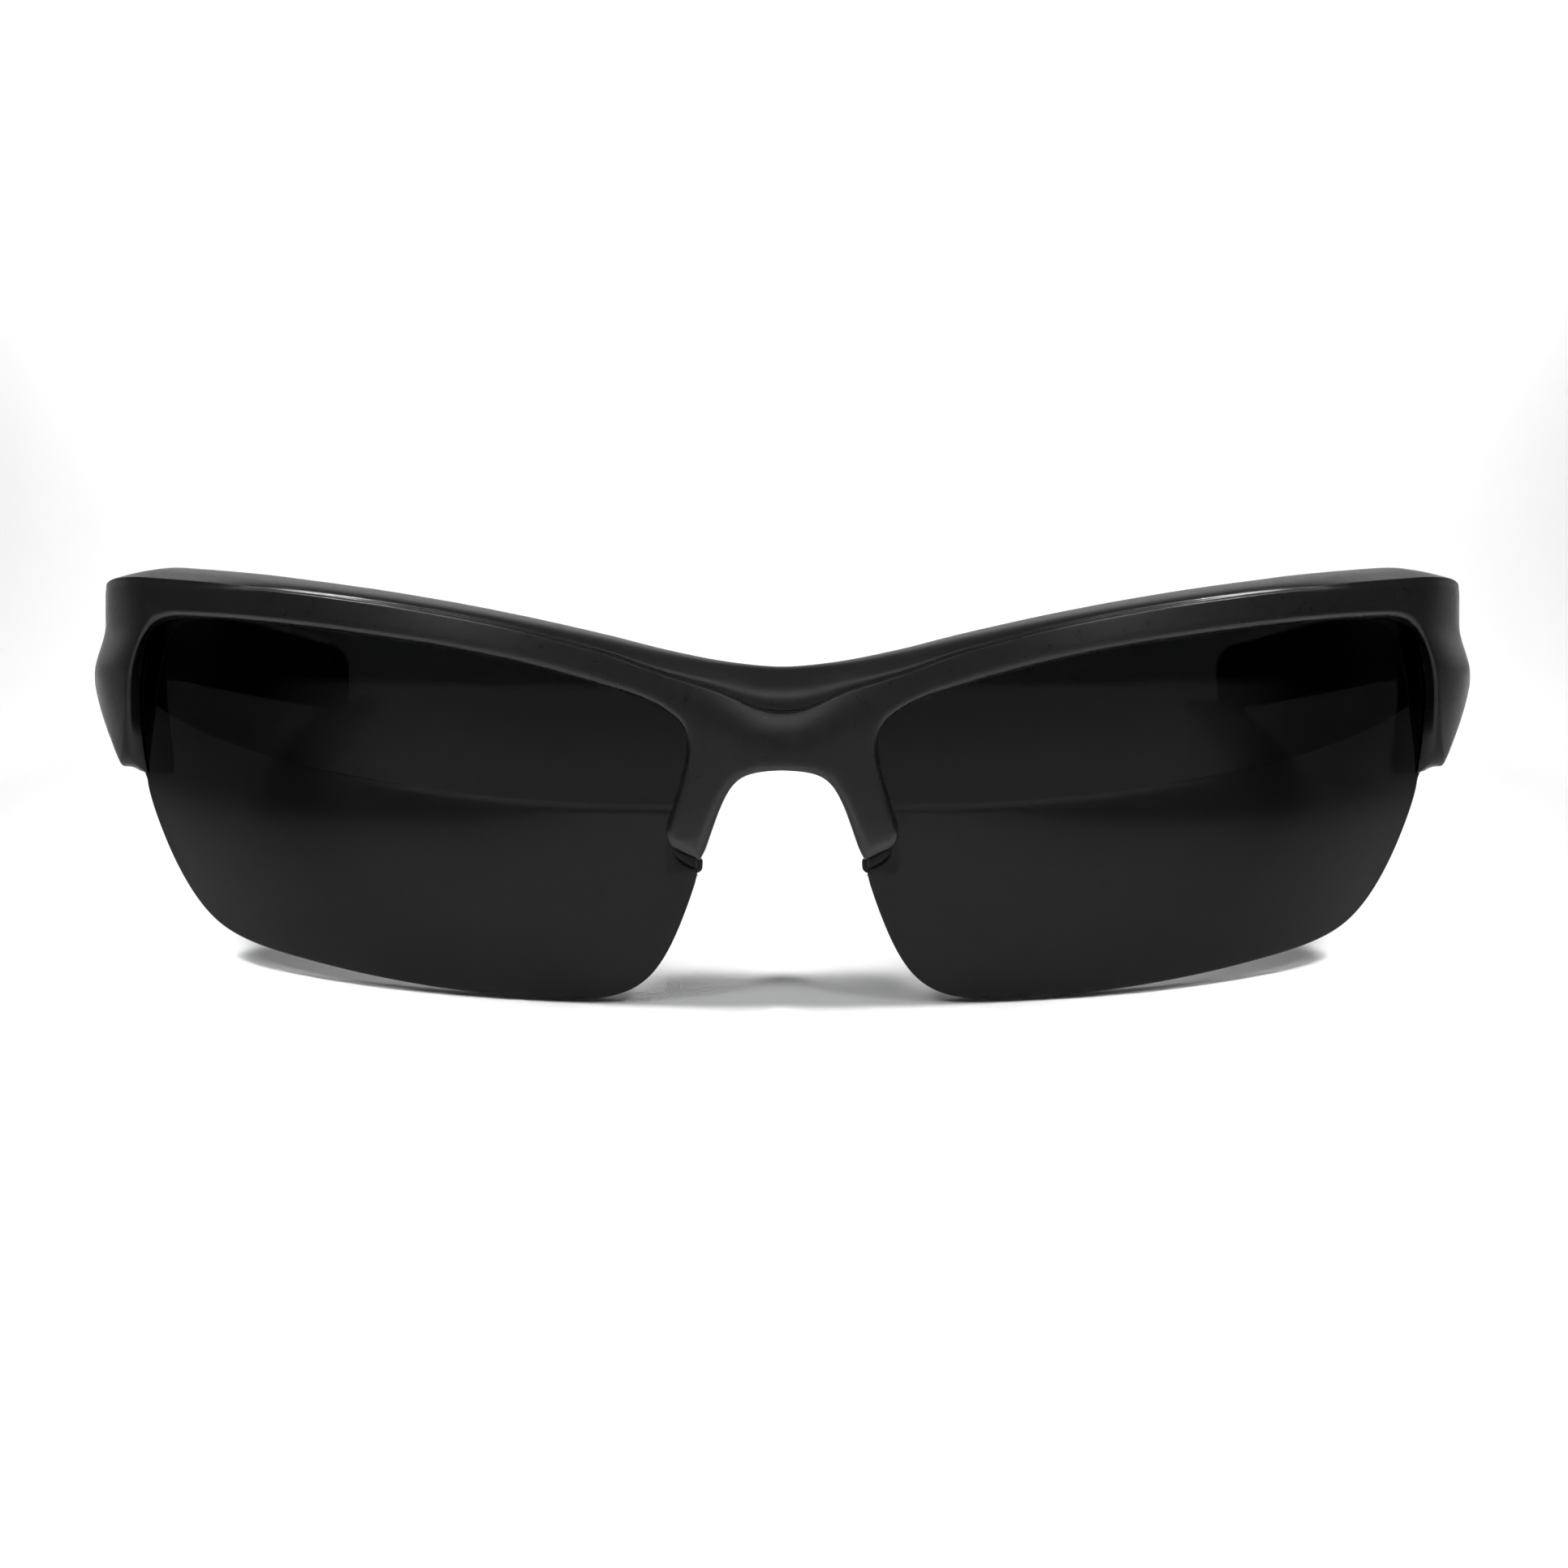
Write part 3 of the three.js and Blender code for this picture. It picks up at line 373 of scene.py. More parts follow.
# ------------------------------------------------------------------ moulded front
def front_outline(at_face):
    """outline of the front at the lens surface, or at its face, with the width each edge is bevelled by"""
    P, A = [], []

    def put(pts, k):
        pts = list(pts)
        k = [k] * len(pts) if np.isscalar(k) else list(k)
        P.extend(tuple(p) for p in pts)
        A.extend(k)
    nose = relax(spline(NOSE_SIDE, 0.35), 6)
    put(nose, np.interp(nose[:, 1], [-7.3, -6.0, -2.0, 0.4, 1.2], [0.95, 0.95, 0.7, 0.45, 0.4]))
    put(spline([(7.96, -7.33), (9.3, -6.72), (10.64, -6.1)], 0.4)[1:-1], 0.95)
    nasal = relax(spline(NASAL, 0.35), 4)
    put(nasal, np.interp(nasal[:, 1], [-6.1, -5.6, -4.6], [0.95, 0.6, 0.32]))
    if at_face:
        brow = relax(spline([(a, b + 0.26 * float(sm(14, 18, a))) for a, b in BROW], 0.5), 12)[1:]
        put(brow, np.interp(brow[:, 0], [14, 22, 66], [0.32, 0.4, 0.42]))
        put(relax(spline([(65.36, 16.82)] + RIDGE[1:], 0.4), 6)[1:], 0.45)
    else:
        put(relax(spline(BROW, 0.5), 12)[1:], 0.4)
        put(relax(spline(TEMPORAL, 0.4), 4)[1:], 0.3)
        put([(72.3, 1.2)], 0.3)
    put(relax(spline(END_UNDER, 0.5), 4), 0.35)
    put([(89.0, 10.9), (89.0, 20.5)], 0.3)
    s = np.arange(88.0, 0.0, -0.5)
    put([(a, float(z_top(a))) for a in s], 0.3)
    P, A = np.array(P), np.array(A)
    L = P[1:][::-1] * [-1, 1]
    k = A[1:][::-1]
    # close over the middle of the top
    P = np.vstack([P, [[0, float(z_top(0))]], L])
    A = np.r_[A, 0.3, k]
    return P, A


def gauss_1d(a, sig, axis):
    n = int(3 * sig + 1)
    k = np.exp(-0.5 * (np.arange(-n, n + 1) / sig) ** 2)
    k /= k.sum()
    a = np.moveaxis(a, axis, 0)
    p = np.concatenate([np.repeat(a[:1], n, 0), a, np.repeat(a[-1:], n, 0)])
    out = sum(w * p[i:i + len(a)] for i, w in enumerate(k))
    return np.moveaxis(out, 0, axis)


def bilinear(G, S, Z, s, z):
    fs = np.clip((s - S[0]) / (S[1] - S[0]), 0, len(S) - 1.001)
    fz = np.clip((z - Z[0]) / (Z[1] - Z[0]), 0, len(Z) - 1.001)
    i, j = fs.astype(int), fz.astype(int)
    u, v = fs - i, fz - j
    return (G[i, j] * (1 - u) + G[i + 1, j] * u) * (1 - v) + (G[i, j + 1] * (1 - u) + G[i + 1, j + 1] * u) * v


def lens_outline(step):
    a, b, c = relax(spline(LENS_FREE, step), 8), spline(LENS_NOTCH, min(step, 0.4)), relax(spline(LENS_HIDDEN, step), 4)
    return np.vstack([a[:-1], b[:-1], c[:-1]])[::-1]


def box_field(x, y, z, lo, hi, r=0.0):
    """signed distance to a box, inside positive, its edges rounded by r"""
    c = [(a + b) / 2 for a, b in zip(lo, hi)]
    q = [np.abs(p - m) - (b - a) / 2 + r for p, m, a, b in zip((x, y, z), c, lo, hi)]
    out = np.sqrt(sum(np.maximum(v, 0) ** 2 for v in q))
    return -(out + np.minimum(np.maximum(np.maximum(q[0], q[1]), q[2]), 0) - r)


def rod_field(r2, along, r, a, b, edge=0.0):
    """signed distance to a round rod: r2 its radial distance, along its place between a and b"""
    d1, d2 = r2 - r + edge, np.abs(along - (a + b) / 2) - (b - a) / 2 + edge
    return -(np.minimum(np.maximum(d1, d2), 0) + np.sqrt(np.maximum(d1, 0) ** 2 + np.maximum(d2, 0) ** 2) - edge)


def axis(*runs):
    """grid lines from runs of (start, end, spacing)"""
    out = []
    for a, b, d in runs:
        n = max(1, int(round((b - a) / d)))
        out.extend(np.linspace(a, b, n, endpoint=False))
    return np.array(out + [runs[-1][1]])


def build_front():
    S = axis((0, 5, 0.26), (5, 12, 0.19), (12, 69, 0.34), (69, 75.5, 0.14), (75.5, 89, 0.27))
    # grid lines run along the crease and are closest together beside it
    C = axis((-20.8, -4.7, 0.2), (-4.7, -2.6, 0.12), (-2.6, -1.2, 0.2), (-1.2, -0.36, 0.12), (-0.36, 0.4, 0.07), (0.4, 1.4, 0.13), (1.4, 5.4, 0.2))
    T = axis((-11.4, -4.5, 0.3), (-4.5, -3.5, 0.16), (-3.5, -1.4, 0.26), (-1.4, 3.2, 0.125))
    s, c = np.meshgrid(S, C, indexing="ij")
    zc, zt = z_crease(s), z_top(s)
    z = c + zc
    P0, A0 = front_outline(False)
    PF, AF = front_outline(True)
    D0, K0 = polygon_field(P0, A0, s, z)
    DF, KF = polygon_field(PF, AF, s, z)
    K0 = gauss_1d(gauss_1d(K0, 2, 0), 2, 1)
    KF = gauss_1d(gauss_1d(KF, 2, 0), 2, 1)
    zcs = np.gradient(z_crease(S), S)[:, None]
    tilt = np.sqrt(1 + zcs ** 2)
    # face plate: rolled back at the middle of the bridge just under the crease
    u = np.clip((z - 1.3) / np.maximum(zc - 1.3, 0.5), 0, 1.3)
    mid = np.exp(-(s / 10.0) ** 2)
    face = 2.0 - 0.85 * u ** 2.4 * mid - 0.12 * (1 - mid) + 0.95 * sm(4.0, -8.5, z) * sm(15.0, 11.0, np.abs(s))
    at_crease = 2.0 - 0.85 * mid - 0.12 * (1 - mid)
    step = 0.40 * (1 - sm(44, 64, s)) + 0.02
    end = sm(48, 64, s)
    v = np.clip(c / np.maximum(zt - zc, 0.3), -0.5, 1.6)
    vp = np.maximum(v, 0)
    drop = at_crease - step + 1.0 - 0.8 * sm(74, 82, s)
    shelf = at_crease - step - drop * ((1 - end) * (0.06 * vp + 0.94 * vp ** 2.5) + end * vp ** 1.05)
    shelf = np.maximum(shelf, -3.2)
    gf, gs = np.gradient(face, S, axis=0), np.gradient(shelf, S, axis=0)
    # slopes across the crease, on the sheared grid
    fz, sz = np.gradient(face, C, axis=1), np.gradient(shelf, C, axis=1)
    nf = np.sqrt(1 + np.minimum((gf - zcs * fz) ** 2 + fz ** 2, 9))
    ns = np.sqrt(1 + np.minimum((gs - zcs * sz) ** 2 + sz ** 2, 9))
    F = np.empty((len(S), len(C), len(T)), np.float32)
    L = lens_outline(0.6)
    gs_, gz_ = np.arange(4, 78, 0.25), np.arange(-23, 21, 0.25)
    DL, _ = polygon_field(L, np.zeros(len(L)), gs_, gz_)
    wa, wu, w0 = 0.27 + 0.437 * end, 0.963 - 0.256 * end, 0.105 + 0.235 * end
    for k, t in enumerate(T):
        wt = float(np.clip((t - 0.25) / 1.75, 0, 1))
        D = (1 - wt) * D0 + wt * DF
        K = (1 - wt) * K0 + wt * KF
        a, b = (face - t) / nf, (shelf - t) / ns
        up = -c / tilt
        plate = smin(smin(a, up, 0.05 + 0.5 * end), wa * a + wu * up - w0, 0.04 + 0.3 * end)
        seam = np.hypot(c - 0.05, t - (at_crease - step + 0.02)) - 0.12 * (1 - sm(30, 56, s))
        body = -smin(-plate, -b, 0.01 + 0.2 * end)
        body = np.minimum(body, seam)
        edge = smin(smin(D, body, 0.16), (D + body - K) * 0.7071, 0.13)
        f = smin(edge, t + 4.2, 1.3)
        W = warp(s, z, np.full_like(s, t))
        x, y = W[..., 0], W[..., 1]
        # fin that carries the nose pad
        px = pad_x(z) - 1.2 + 1.08 * (y - 5.2) / 6.1
        fin = np.minimum(np.minimum(0.55 - np.abs(x - px) * 0.985, np.minimum(y - 4.6, 11.3 - y)), np.minimum(z + 5.0, 2.6 - z))
        f = np.where(z < 6, np.maximum(f, fin) + np.maximum(0.5 - np.abs(f - fin), 0) ** 2 * 0.5, f)
        # groove for the lens
        r = np.hypot(x - XC, y - Y0 - R)
        tl = np.hypot(r, z - ZC) - R
        sl = XC + R * np.arctan2(x - XC, Y0 + R - y)
        dl = bilinear(DL, gs_, gz_, sl, z)
        dl = np.where((sl > 4.2) & (sl < 77), dl, -9)
        groove = np.minimum(dl + 0.14, np.minimum(tl + 2.34, 0.1 - tl))
        f = np.minimum(f, -groove)
        # rear end, seat of the hinge leaf and room round the knuckles
        f = smin(f, 38.3 - y, 0.3)
        seat = box_field(x, y, z, (58, 30.8, 11.9), (64.0, 42, 20.1), 0.3)
        f = smin(f, -seat, 0.25)
        well = np.minimum(2.2 - np.hypot(x - HX, y - HY), z - 11.9)
        f = smin(f, -well, 0.25)
        F[:, :, k] = f
    F = np.concatenate([F[:0:-1], F])
    V, Q = surface_net(F, (np.r_[-S[:0:-1], S], C, T), None)
    return row(warp(V[:, 0], V[:, 1] + z_crease(V[:, 0]), V[:, 2])), Q


# ------------------------------------------------------------------ nose pad numbers
pad_x = table([(-10.2, 11.2), (-5, 9.35), (0, 7.75), (5, 6.6)])
pad_y = table([(-10.2, 12.9), (-5, 12.2), (0, 11.6), (5, 11.2)])
TOE = [(8.3, -7.17), (9.3, -6.71), (10.42, -6.2), (10.42, -6.72), (10.1, -7.15), (9.54, -7.57), (8.76, -7.99), (8.34, -8.1)]


def build_pad():
    h = 0.16
    X, Y, Z = np.arange(3.4, 14.4, h), np.arange(2.6, 18.0, h), np.arange(-10.0, 5.8, h)
    x, y, z = np.meshgrid(X, Y, Z, indexing="ij")
    psi = math.radians(10)
    dx, dy = x - pad_x(z), y - pad_y(z)
    al, bl = math.sin(psi) * dx + math.cos(psi) * dy, math.cos(psi) * dx - math.sin(psi) * dy
    g = np.clip(1 - np.abs((z + 1.95) / 6.9) ** 3.2, 0.0004, 1) ** 0.5
    a, b = 4.1 * g, 1.65 * g
    # the nose side (small bl) is flatter, with shallow cross grooves that let air through
    b2 = np.where(bl < 0, b * 0.92, b)
    q = (np.abs(al / a) ** 2.3 + np.abs(bl / b2) ** 2.2) ** (1 / 2.25)
    f = (1 - q) * np.minimum(a, b2) * 0.9
    ribs = np.zeros_like(f)
    for zk in (-6.6, -5.0, -3.4, -1.8, -0.2, 1.4, 3.0):
        ribs += np.exp(-((z - zk - 0.25 * al) / 0.28) ** 2)
    f = f - 0.2 * ribs * sm(0.2, -0.8, bl / b) * sm(3.6, 2.6, np.abs(al))
    f = np.where(np.abs(z + 1.95) > 6.87, -np.abs(np.abs(z + 1.95) - 6.75), f)
    D, _ = polygon_field(TOE, np.zeros(len(TOE)), X, Z)
    skin = warp(x, z, 0.0)[..., 1]
    low = np.clip((-6.9 - z) / 0.5, 0, 1)
    behind = 0.55 * sm(2.4, 2.9, y - skin) * low
    toe = smin(D[:, None, :] + behind, np.minimum(y - skin - 0.05, 11.0 - y), 0.16)
    k = 0.9 * sm(6.2, 8.0, y)
    f = -smin(-f, -toe, np.maximum(k, 1e-3))
    slot_x = pad_x(z) - 1.2 + 1.08 * (y - 5.2) / 6.1
    slot = np.minimum(np.minimum(0.63 - np.abs(x - slot_x) * 0.985, 11.45 - y), np.minimum(z + 5.15, 2.75 - z))
    f = np.minimum(f, -slot)
    return surface_net(f.astype(np.float32), (X[0], Y[0], Z[0]), (h, h, h))


# ------------------------------------------------------------------ temples and sleeves
out_x = table([(38, 70.1), (46, 70.4), (55, 70.6), (68, 70.5), (80, 69.9), (92, 68.9), (105, 66.6), (118, 63.2), (132, 58.9), (146, 54.6)])
thick = table([(38, 6.1), (47, 6.1), (54, 5.2), (62, 4.3), (80, 3.6), (100, 3.3), (146, 3.3)])
top_z = table([(38, 20.7), (55, 20.5), (80, 19.9), (105, 19.1), (120, 18.1), (134, 17.0), (146, 16.0)])
low_z = table([(38, 10.0), (41, 10.2), (46, 10.7), (60, 11.3), (80, 11.6), (100, 11.3), (118, 10.4), (132, 9.6), (146, 8.9)])


def temple_ring(y, grow=0.0, n=72, relief=False):
    o, w = float(out_x(y)) + grow, float(thick(y)) + 2 * grow
    i, zt, zb = o - w, float(top_z(y)) + grow, float(low_z(y)) - grow
    if relief and abs(y - HY) < 2.35:
        i = max(i, HX + math.sqrt(max(2.25 ** 2 - (y - HY) ** 2, 0)))
        w = o - i
    k = 1 - float(sm(44, 78, y))
    zr = 11.65 * k + (0.5 * (zt + zb)) * (1 - k)
    up, r = 1.1 * k + 0.35 * (1 - k), min(0.9, w * 0.26)
    m = min(zr, zb + 0.42 * (zt - zb))
    pts = [(i + r, zb), (0.5 * (i + o), zb - 0.02), (o - 0.5 - r, zb), (o - 0.45, zb + 0.45 + 0.4 * (1 - k)), (o, max(m, zb + 0.95)), (o - 0.35 * up, m + (0.45 - 0.24 * k) * (zt - m)), (o - up, m + (0.78 - 0.3 * k) * (zt - m)), (o - up - 0.22, zt - 0.5), (o - up - r - 0.1, zt), (0.5 * (i + o - up), zt + 0.03), (i + r, zt), (i + 0.14, zt - 0.75), (i, 0.5 * (zt + zb)), (i + 0.14, zb + 0.75)]
    P = spline(pts, 0.12, closed=True)
    d = np.r_[0, np.cumsum(np.linalg.norm(np.diff(np.vstack([P, P[:1]]), axis=0), axis=1))]
    q = np.linspace(0, d[-1], n, endpoint=False)
    C = np.vstack([P, P[:1]])
    return np.stack([np.interp(q, d, C[:, 0]), np.full(n, float(y)), np.interp(q, d, C[:, 1])], 1)


def inset_ring(ring, d):
    """draws a section in by d"""
    P = ring[:, [0, 2]]
    T = np.roll(P, -1, 0) - np.roll(P, 1, 0)
    T /= np.linalg.norm(T, axis=1, keepdims=True)
    out = ring.copy()
    out[:, 0] -= T[:, 1] * d
    out[:, 2] += T[:, 0] * d
    return out


def tube(rings):
    """quads through rings, its ends closed by fans of quads to a middle point"""
    n, m = len(rings[0]), len(rings)
    V = np.vstack(rings)
    i = np.arange(n)
    j = (i + 1) % n
    Q = np.vstack([np.stack([k * n + i, k * n + j, (k + 1) * n + j, (k + 1) * n + i], 1) for k in range(m - 1)])
    faces = Q.tolist()
    for k, turn in ((0, True), (m - 1, False)):
        c = len(V)
        V = np.vstack([V, rings[k].mean(0)[None]])
        for a in range(n):
            f = [c, k * n + a, k * n + (a + 1) % n]
            faces.append(f[::-1] if turn else f)
    return V, faces


def build_temple():
    ys = [38.7, 38.78, 38.95, 39.2] + list(np.arange(39.6, 50, 0.7)) + list(np.arange(50.5, 100.6, 1.3)) + [100.75, 100.92, 101.0]
    rings = []
    for y in ys:
        r = temple_ring(y, relief=True)
        e = y - ys[0]
        f = ys[-1] - y
        d = 0.0
        if e < 0.45:
            d = 0.3 - math.sqrt(max(0.3 ** 2 - max(0.3 - e, 0) ** 2, 0))
        if f < 0.25:
            d = max(d, 0.22 - math.sqrt(max(0.22 ** 2 - max(0.22 - f, 0) ** 2, 0)))
        rings.append(inset_ring(r, d) if d else r)
    return tube(rings)


def build_sleeve():
    y0, y1, cap = 101.01, 146.0, 5.2
    ys = [y0, y0 + 0.1, y0 + 0.3, y0 + 0.6] + list(np.arange(y0 + 1.0, y1 - cap, 0.45)) + [y1 - cap * (1 - math.sin(a)) for a in np.linspace(0, math.pi / 2, 22)[:-1]] + [y1 - 0.004]
    rings = []
    for y in ys:
        r = temple_ring(min(y, y1 - 0.01), grow=0.14)
        e = y - y0
        if e < 0.6:
            d = 0.45 - math.sqrt(max(0.45 ** 2 - max(0.45 - e, 0) ** 2, 0))
            if d:
                r = inset_ring(r, d)
        if y > y1 - cap:
            f = math.sqrt(max(1 - ((y - (y1 - cap)) / cap) ** 2, 0.0008))
            c = r.mean(0)
            r = c + (r - c) * [f, 1, f]
            r[:, 1] = y
        # grip ribs across the inner face and the lower edge
        if 106 < y < 140:
            o, w = float(out_x(y)), float(thick(y))
            inner = sm(o - 0.35 * w, o - 0.75 * w, r[:, 0])
            wave = 0.5 - 0.5 * math.cos((y - 106) / 34 * 2 * math.pi * 12)
            depth = 0.28 * wave * float(sm(106, 108, y) * sm(140, 138, y))
            d = inset_ring(r, 1.0) - r
            r = r + d * (inner * depth)[:, None]
        rings.append(r)
    V, F = tube(rings)
    return unrow_z(V, 0.0), F


# ------------------------------------------------------------------ lens
FREE_LINE = spline(LENS_FREE, 0.5)[3:-3]


def build_lens():
    P = lens_outline(0.7)
    area = 0.5 * np.sum(P[:, 0] * np.roll(P[:, 1], -1) - np.roll(P[:, 0], -1) * P[:, 1])
    if area < 0:
        P = P[::-1]
    n = len(P)
    T = np.roll(P, -1, 0) - np.roll(P, 1, 0)
    T /= np.linalg.norm(T, axis=1, keepdims=True)
    N = np.stack([T[:, 1], -T[:, 0]], 1)
    prof = [(-0.22, 0.0), (-0.14, -0.01), (-0.06, -0.04), (-0.015, -0.09), (0.0, -0.17), (0.0, -1.0), (0.0, -1.9), (-0.05, -2.05), (-0.14, -2.15), (-0.22, -2.185), (-0.3, -2.2)]
    # the free edge stands a little proud of the plan outline
    free = np.array([min(np.hypot(*(p - np.array(q))) for q in FREE_LINE) for p in P])
    grow = 0.2 * (1 - sm(0.3, 2.0, free))
    rings = [np.c_[P + N * (grow + d)[:, None], np.full(n, t)] for d, t in prof]
    inner = P + N * (grow - 0.26)[:, None]
    g = np.array([(a, b) for a in np.arange(6, 76, 1.7) for b in np.arange(-22, 20, 1.7)])
    gs, gz = np.arange(4, 78, 0.25), np.arange(-23, 21, 0.25)
    D, _ = polygon_field(P, np.zeros(n), gs, gz)
    g = g[bilinear(D, gs, gz, g[:, 0], g[:, 1]) > 1.35]
    pts = [Vector(p) for p in np.vstack([inner, g])]
    edges = [(i, (i + 1) % n) for i in range(n)]
    v2, _, f2, ov, _, _ = geometry.delaunay_2d_cdt(pts, edges, [], 1, 1e-6)
    order = {}
    for i, o in enumerate(ov):
        if o:
            order[i] = o[0]
    v2 = np.array([tuple(v) for v in v2])
    V, faces = [], []
    for r in rings:
        V.append(r)
    V = np.vstack(V)
    m = len(rings)
    for k in range(m - 1):
        for i in range(n):
            j = (i + 1) % n
            faces.append((k * n + i, (k + 1) * n + i, (k + 1) * n + j, k * n + j))
    kinds = [None] * len(V)
    for level, ring0, t in ((0, 0, 0.0), (1, (m - 1) * n, -2.2)):
        idx = {}
        for i in range(len(v2)):
            o = order.get(i, None)
            if o is not None and o < n:
                idx[i] = ring0 + o
            else:
                idx[i] = len(V)
                V = np.vstack([V, [[v2[i, 0], v2[i, 1], t]]])
        for f in f2:
            q = [idx[i] for i in f]
            a = 0.0
            for u in range(len(f)):
                p, r2 = v2[f[u]], v2[f[(u + 1) % len(f)]]
                a += p[0] * r2[1] - r2[0] * p[1]
            if (a < 0) != (level == 1):
                q = q[::-1]
            faces.append(tuple(q))
    W = warp_lens(V[:, 0], V[:, 1], V[:, 2])
    c = np.array([XC, Y0 + R, ZC])
    rad = W - c
    rad /= np.linalg.norm(rad, axis=1, keepdims=True)
    return W, faces, rad, V


def lens_object(name, side):
    W, faces, rad, flat = LENS_DATA
    if side < 0:
        W, rad, faces = mirror_x(W), mirror_x(rad), [f[::-1] for f in faces]
    ob = new_mesh(name, row(W), faces)
    me = ob.data
    nv = len(me.vertices)
    auto = np.zeros(nv * 3, np.float32)
    me.vertex_normals.foreach_get("vector", auto)
    N = auto.reshape(-1, 3).copy()
    M = np.array([[1, 0, 0], [0, CS, SN], [0, -SN, CS]])
    exact = rad @ M.T
    t = flat[:, 2]
    N[t > -0.001] = exact[t > -0.001]
    N[t < -2.199] = -exact[t < -2.199]
    me.normals_split_custom_set_from_vertices([tuple(v) for v in N])
    return ob


# ------------------------------------------------------------------ hinge
LEAF_X = (62.9, 63.7)
KNUCKLES = [(12.3, 14.5), (14.8, 17.2), (17.5, 19.7)]
SCREW_Z = (14.2, 17.8)


def leaf_field(x, y, z, temple):
    ks = [KNUCKLES[1]] if temple else [KNUCKLES[0], KNUCKLES[2]]
    r = np.hypot(x - HX, y - HY)
    if temple:
        f = box_field(x, y, z, (LEAF_X[0], 40.8, 12.6), (LEAF_X[1], 46.6, 19.4), 0.12)
        # rounded outer end of the plate
        cy, cz = 45.0, 16.0
        f = np.minimum(f, 1.6 + 2.6 - np.hypot(np.maximum(y - cy, 0) * 1.25, np.maximum(np.abs(z - cz) - 0.9, 0)) - 1.4)
    else:
        f = box_field(x, y, z, (LEAF_X[0], 31.2, 12.6), (LEAF_X[1], 36.2, 19.4), 0.12)
        cy, cz = 32.8, 16.0
        f = np.minimum(f, 1.6 + 2.6 - np.hypot(np.maximum(cy - y, 0) * 1.25, np.maximum(np.abs(z - cz) - 0.9, 0)) - 1.4)
    for a, b in ks:
        lo, hi = ((HY, 41.0) if temple else (36.0, HY))
        arm = box_field(x, y, z, (LEAF_X[0], lo, a), (LEAF_X[1], hi, b), 0.1)
        ring = rod_field(r, z, 1.6, a, b, 0.12)
        f = -smin(-f, -arm, 0.15)
        f = -smin(-f, -ring, 0.2)
    f = np.minimum(f, r - 0.74)
    ys = 44.2 if temple else 33.3
    for zs in SCREW_Z:
        rs = np.hypot(y - ys, z - zs)
        f = np.minimum(f, rs - 0.8)
    return f


def build_leaf(temple):
    h = 0.11
    lo, hi = ((36.6, 46.9) if temple else (30.9, 40.4))
    X, Y, Z = np.arange(60.9, 64.8, h), np.arange(lo, hi, h), np.arange(12.0, 20.0, h)
    x, y, z = np.meshgrid(X, Y, Z, indexing="ij")
    return surface_net(leaf_field(x, y, z, temple).astype(np.float32), (X[0], Y[0], Z[0]), (h, h, h))


def build_screw(profile, slot_depth, cross, head_top, h):
    """a turned screw: profile gives its radius along u; a recess is cut in the head's top face"""
    u0, u1 = min(p[1] for p in profile), max(p[1] for p in profile)
    rmax = max(p[0] for p in profile)
    A = np.arange(-rmax - 3 * h, rmax + 3 * h, h)
    U = np.arange(u0 - 3 * h, u1 + 3 * h, h)
    a, b, u = np.meshgrid(A, A, U, indexing="ij")
    r = np.hypot(a, b)
    rr = np.arange(0, rmax + 4 * h, h / 2)
    P = np.array([(p[0], p[1]) for p in profile] + [(-p[0], p[1]) for p in profile[::-1]])
    D, _ = polygon_field(P, np.zeros(len(P)), np.r_[-rr[:0:-1], rr], U)
    rs = np.r_[-rr[:0:-1], rr]
    f = bilinear(D, rs, U, r, u)
    depth = (u - head_top + slot_depth) if slot_depth > 0 else (head_top - slot_depth - u)
    cut = np.minimum(depth, np.minimum(0.17 - np.abs(a), 0.78 - np.abs(b)) if not cross else np.maximum(np.minimum(0.16 - np.abs(a), 0.62 - np.abs(b)), np.minimum(0.16 - np.abs(b), 0.62 - np.abs(a))))
    f = np.minimum(f, -cut)
    return surface_net(f.astype(np.float32), (A[0], A[0], U[0]), (h, h, h))


# ------------------------------------------------------------------ materials
def node_material(name):
    m = bpy.data.materials.new(name)
    m.use_nodes = True
    nt = m.node_tree
    return m, nt, nt.nodes["Principled BSDF"]


def add_noise(nt, scale, detail=3.0, rough=0.55, coords=None):
    n = nt.nodes.new("ShaderNodeTexNoise")
    n.inputs["Scale"].default_value = scale
    n.inputs["Detail"].default_value = detail
    n.inputs["Roughness"].default_value = rough
    nt.links.new(coords.outputs["Object"], n.inputs["Vector"])
    return n


def ramp(nt, src, a, b, lo, hi):
    r = nt.nodes.new("ShaderNodeMapRange")
    r.inputs["From Min"].default_value = a
    r.inputs["From Max"].default_value = b
    r.inputs["To Min"].default_value = lo
    r.inputs["To Max"].default_value = hi
    nt.links.new(src, r.inputs["Value"])
    return r


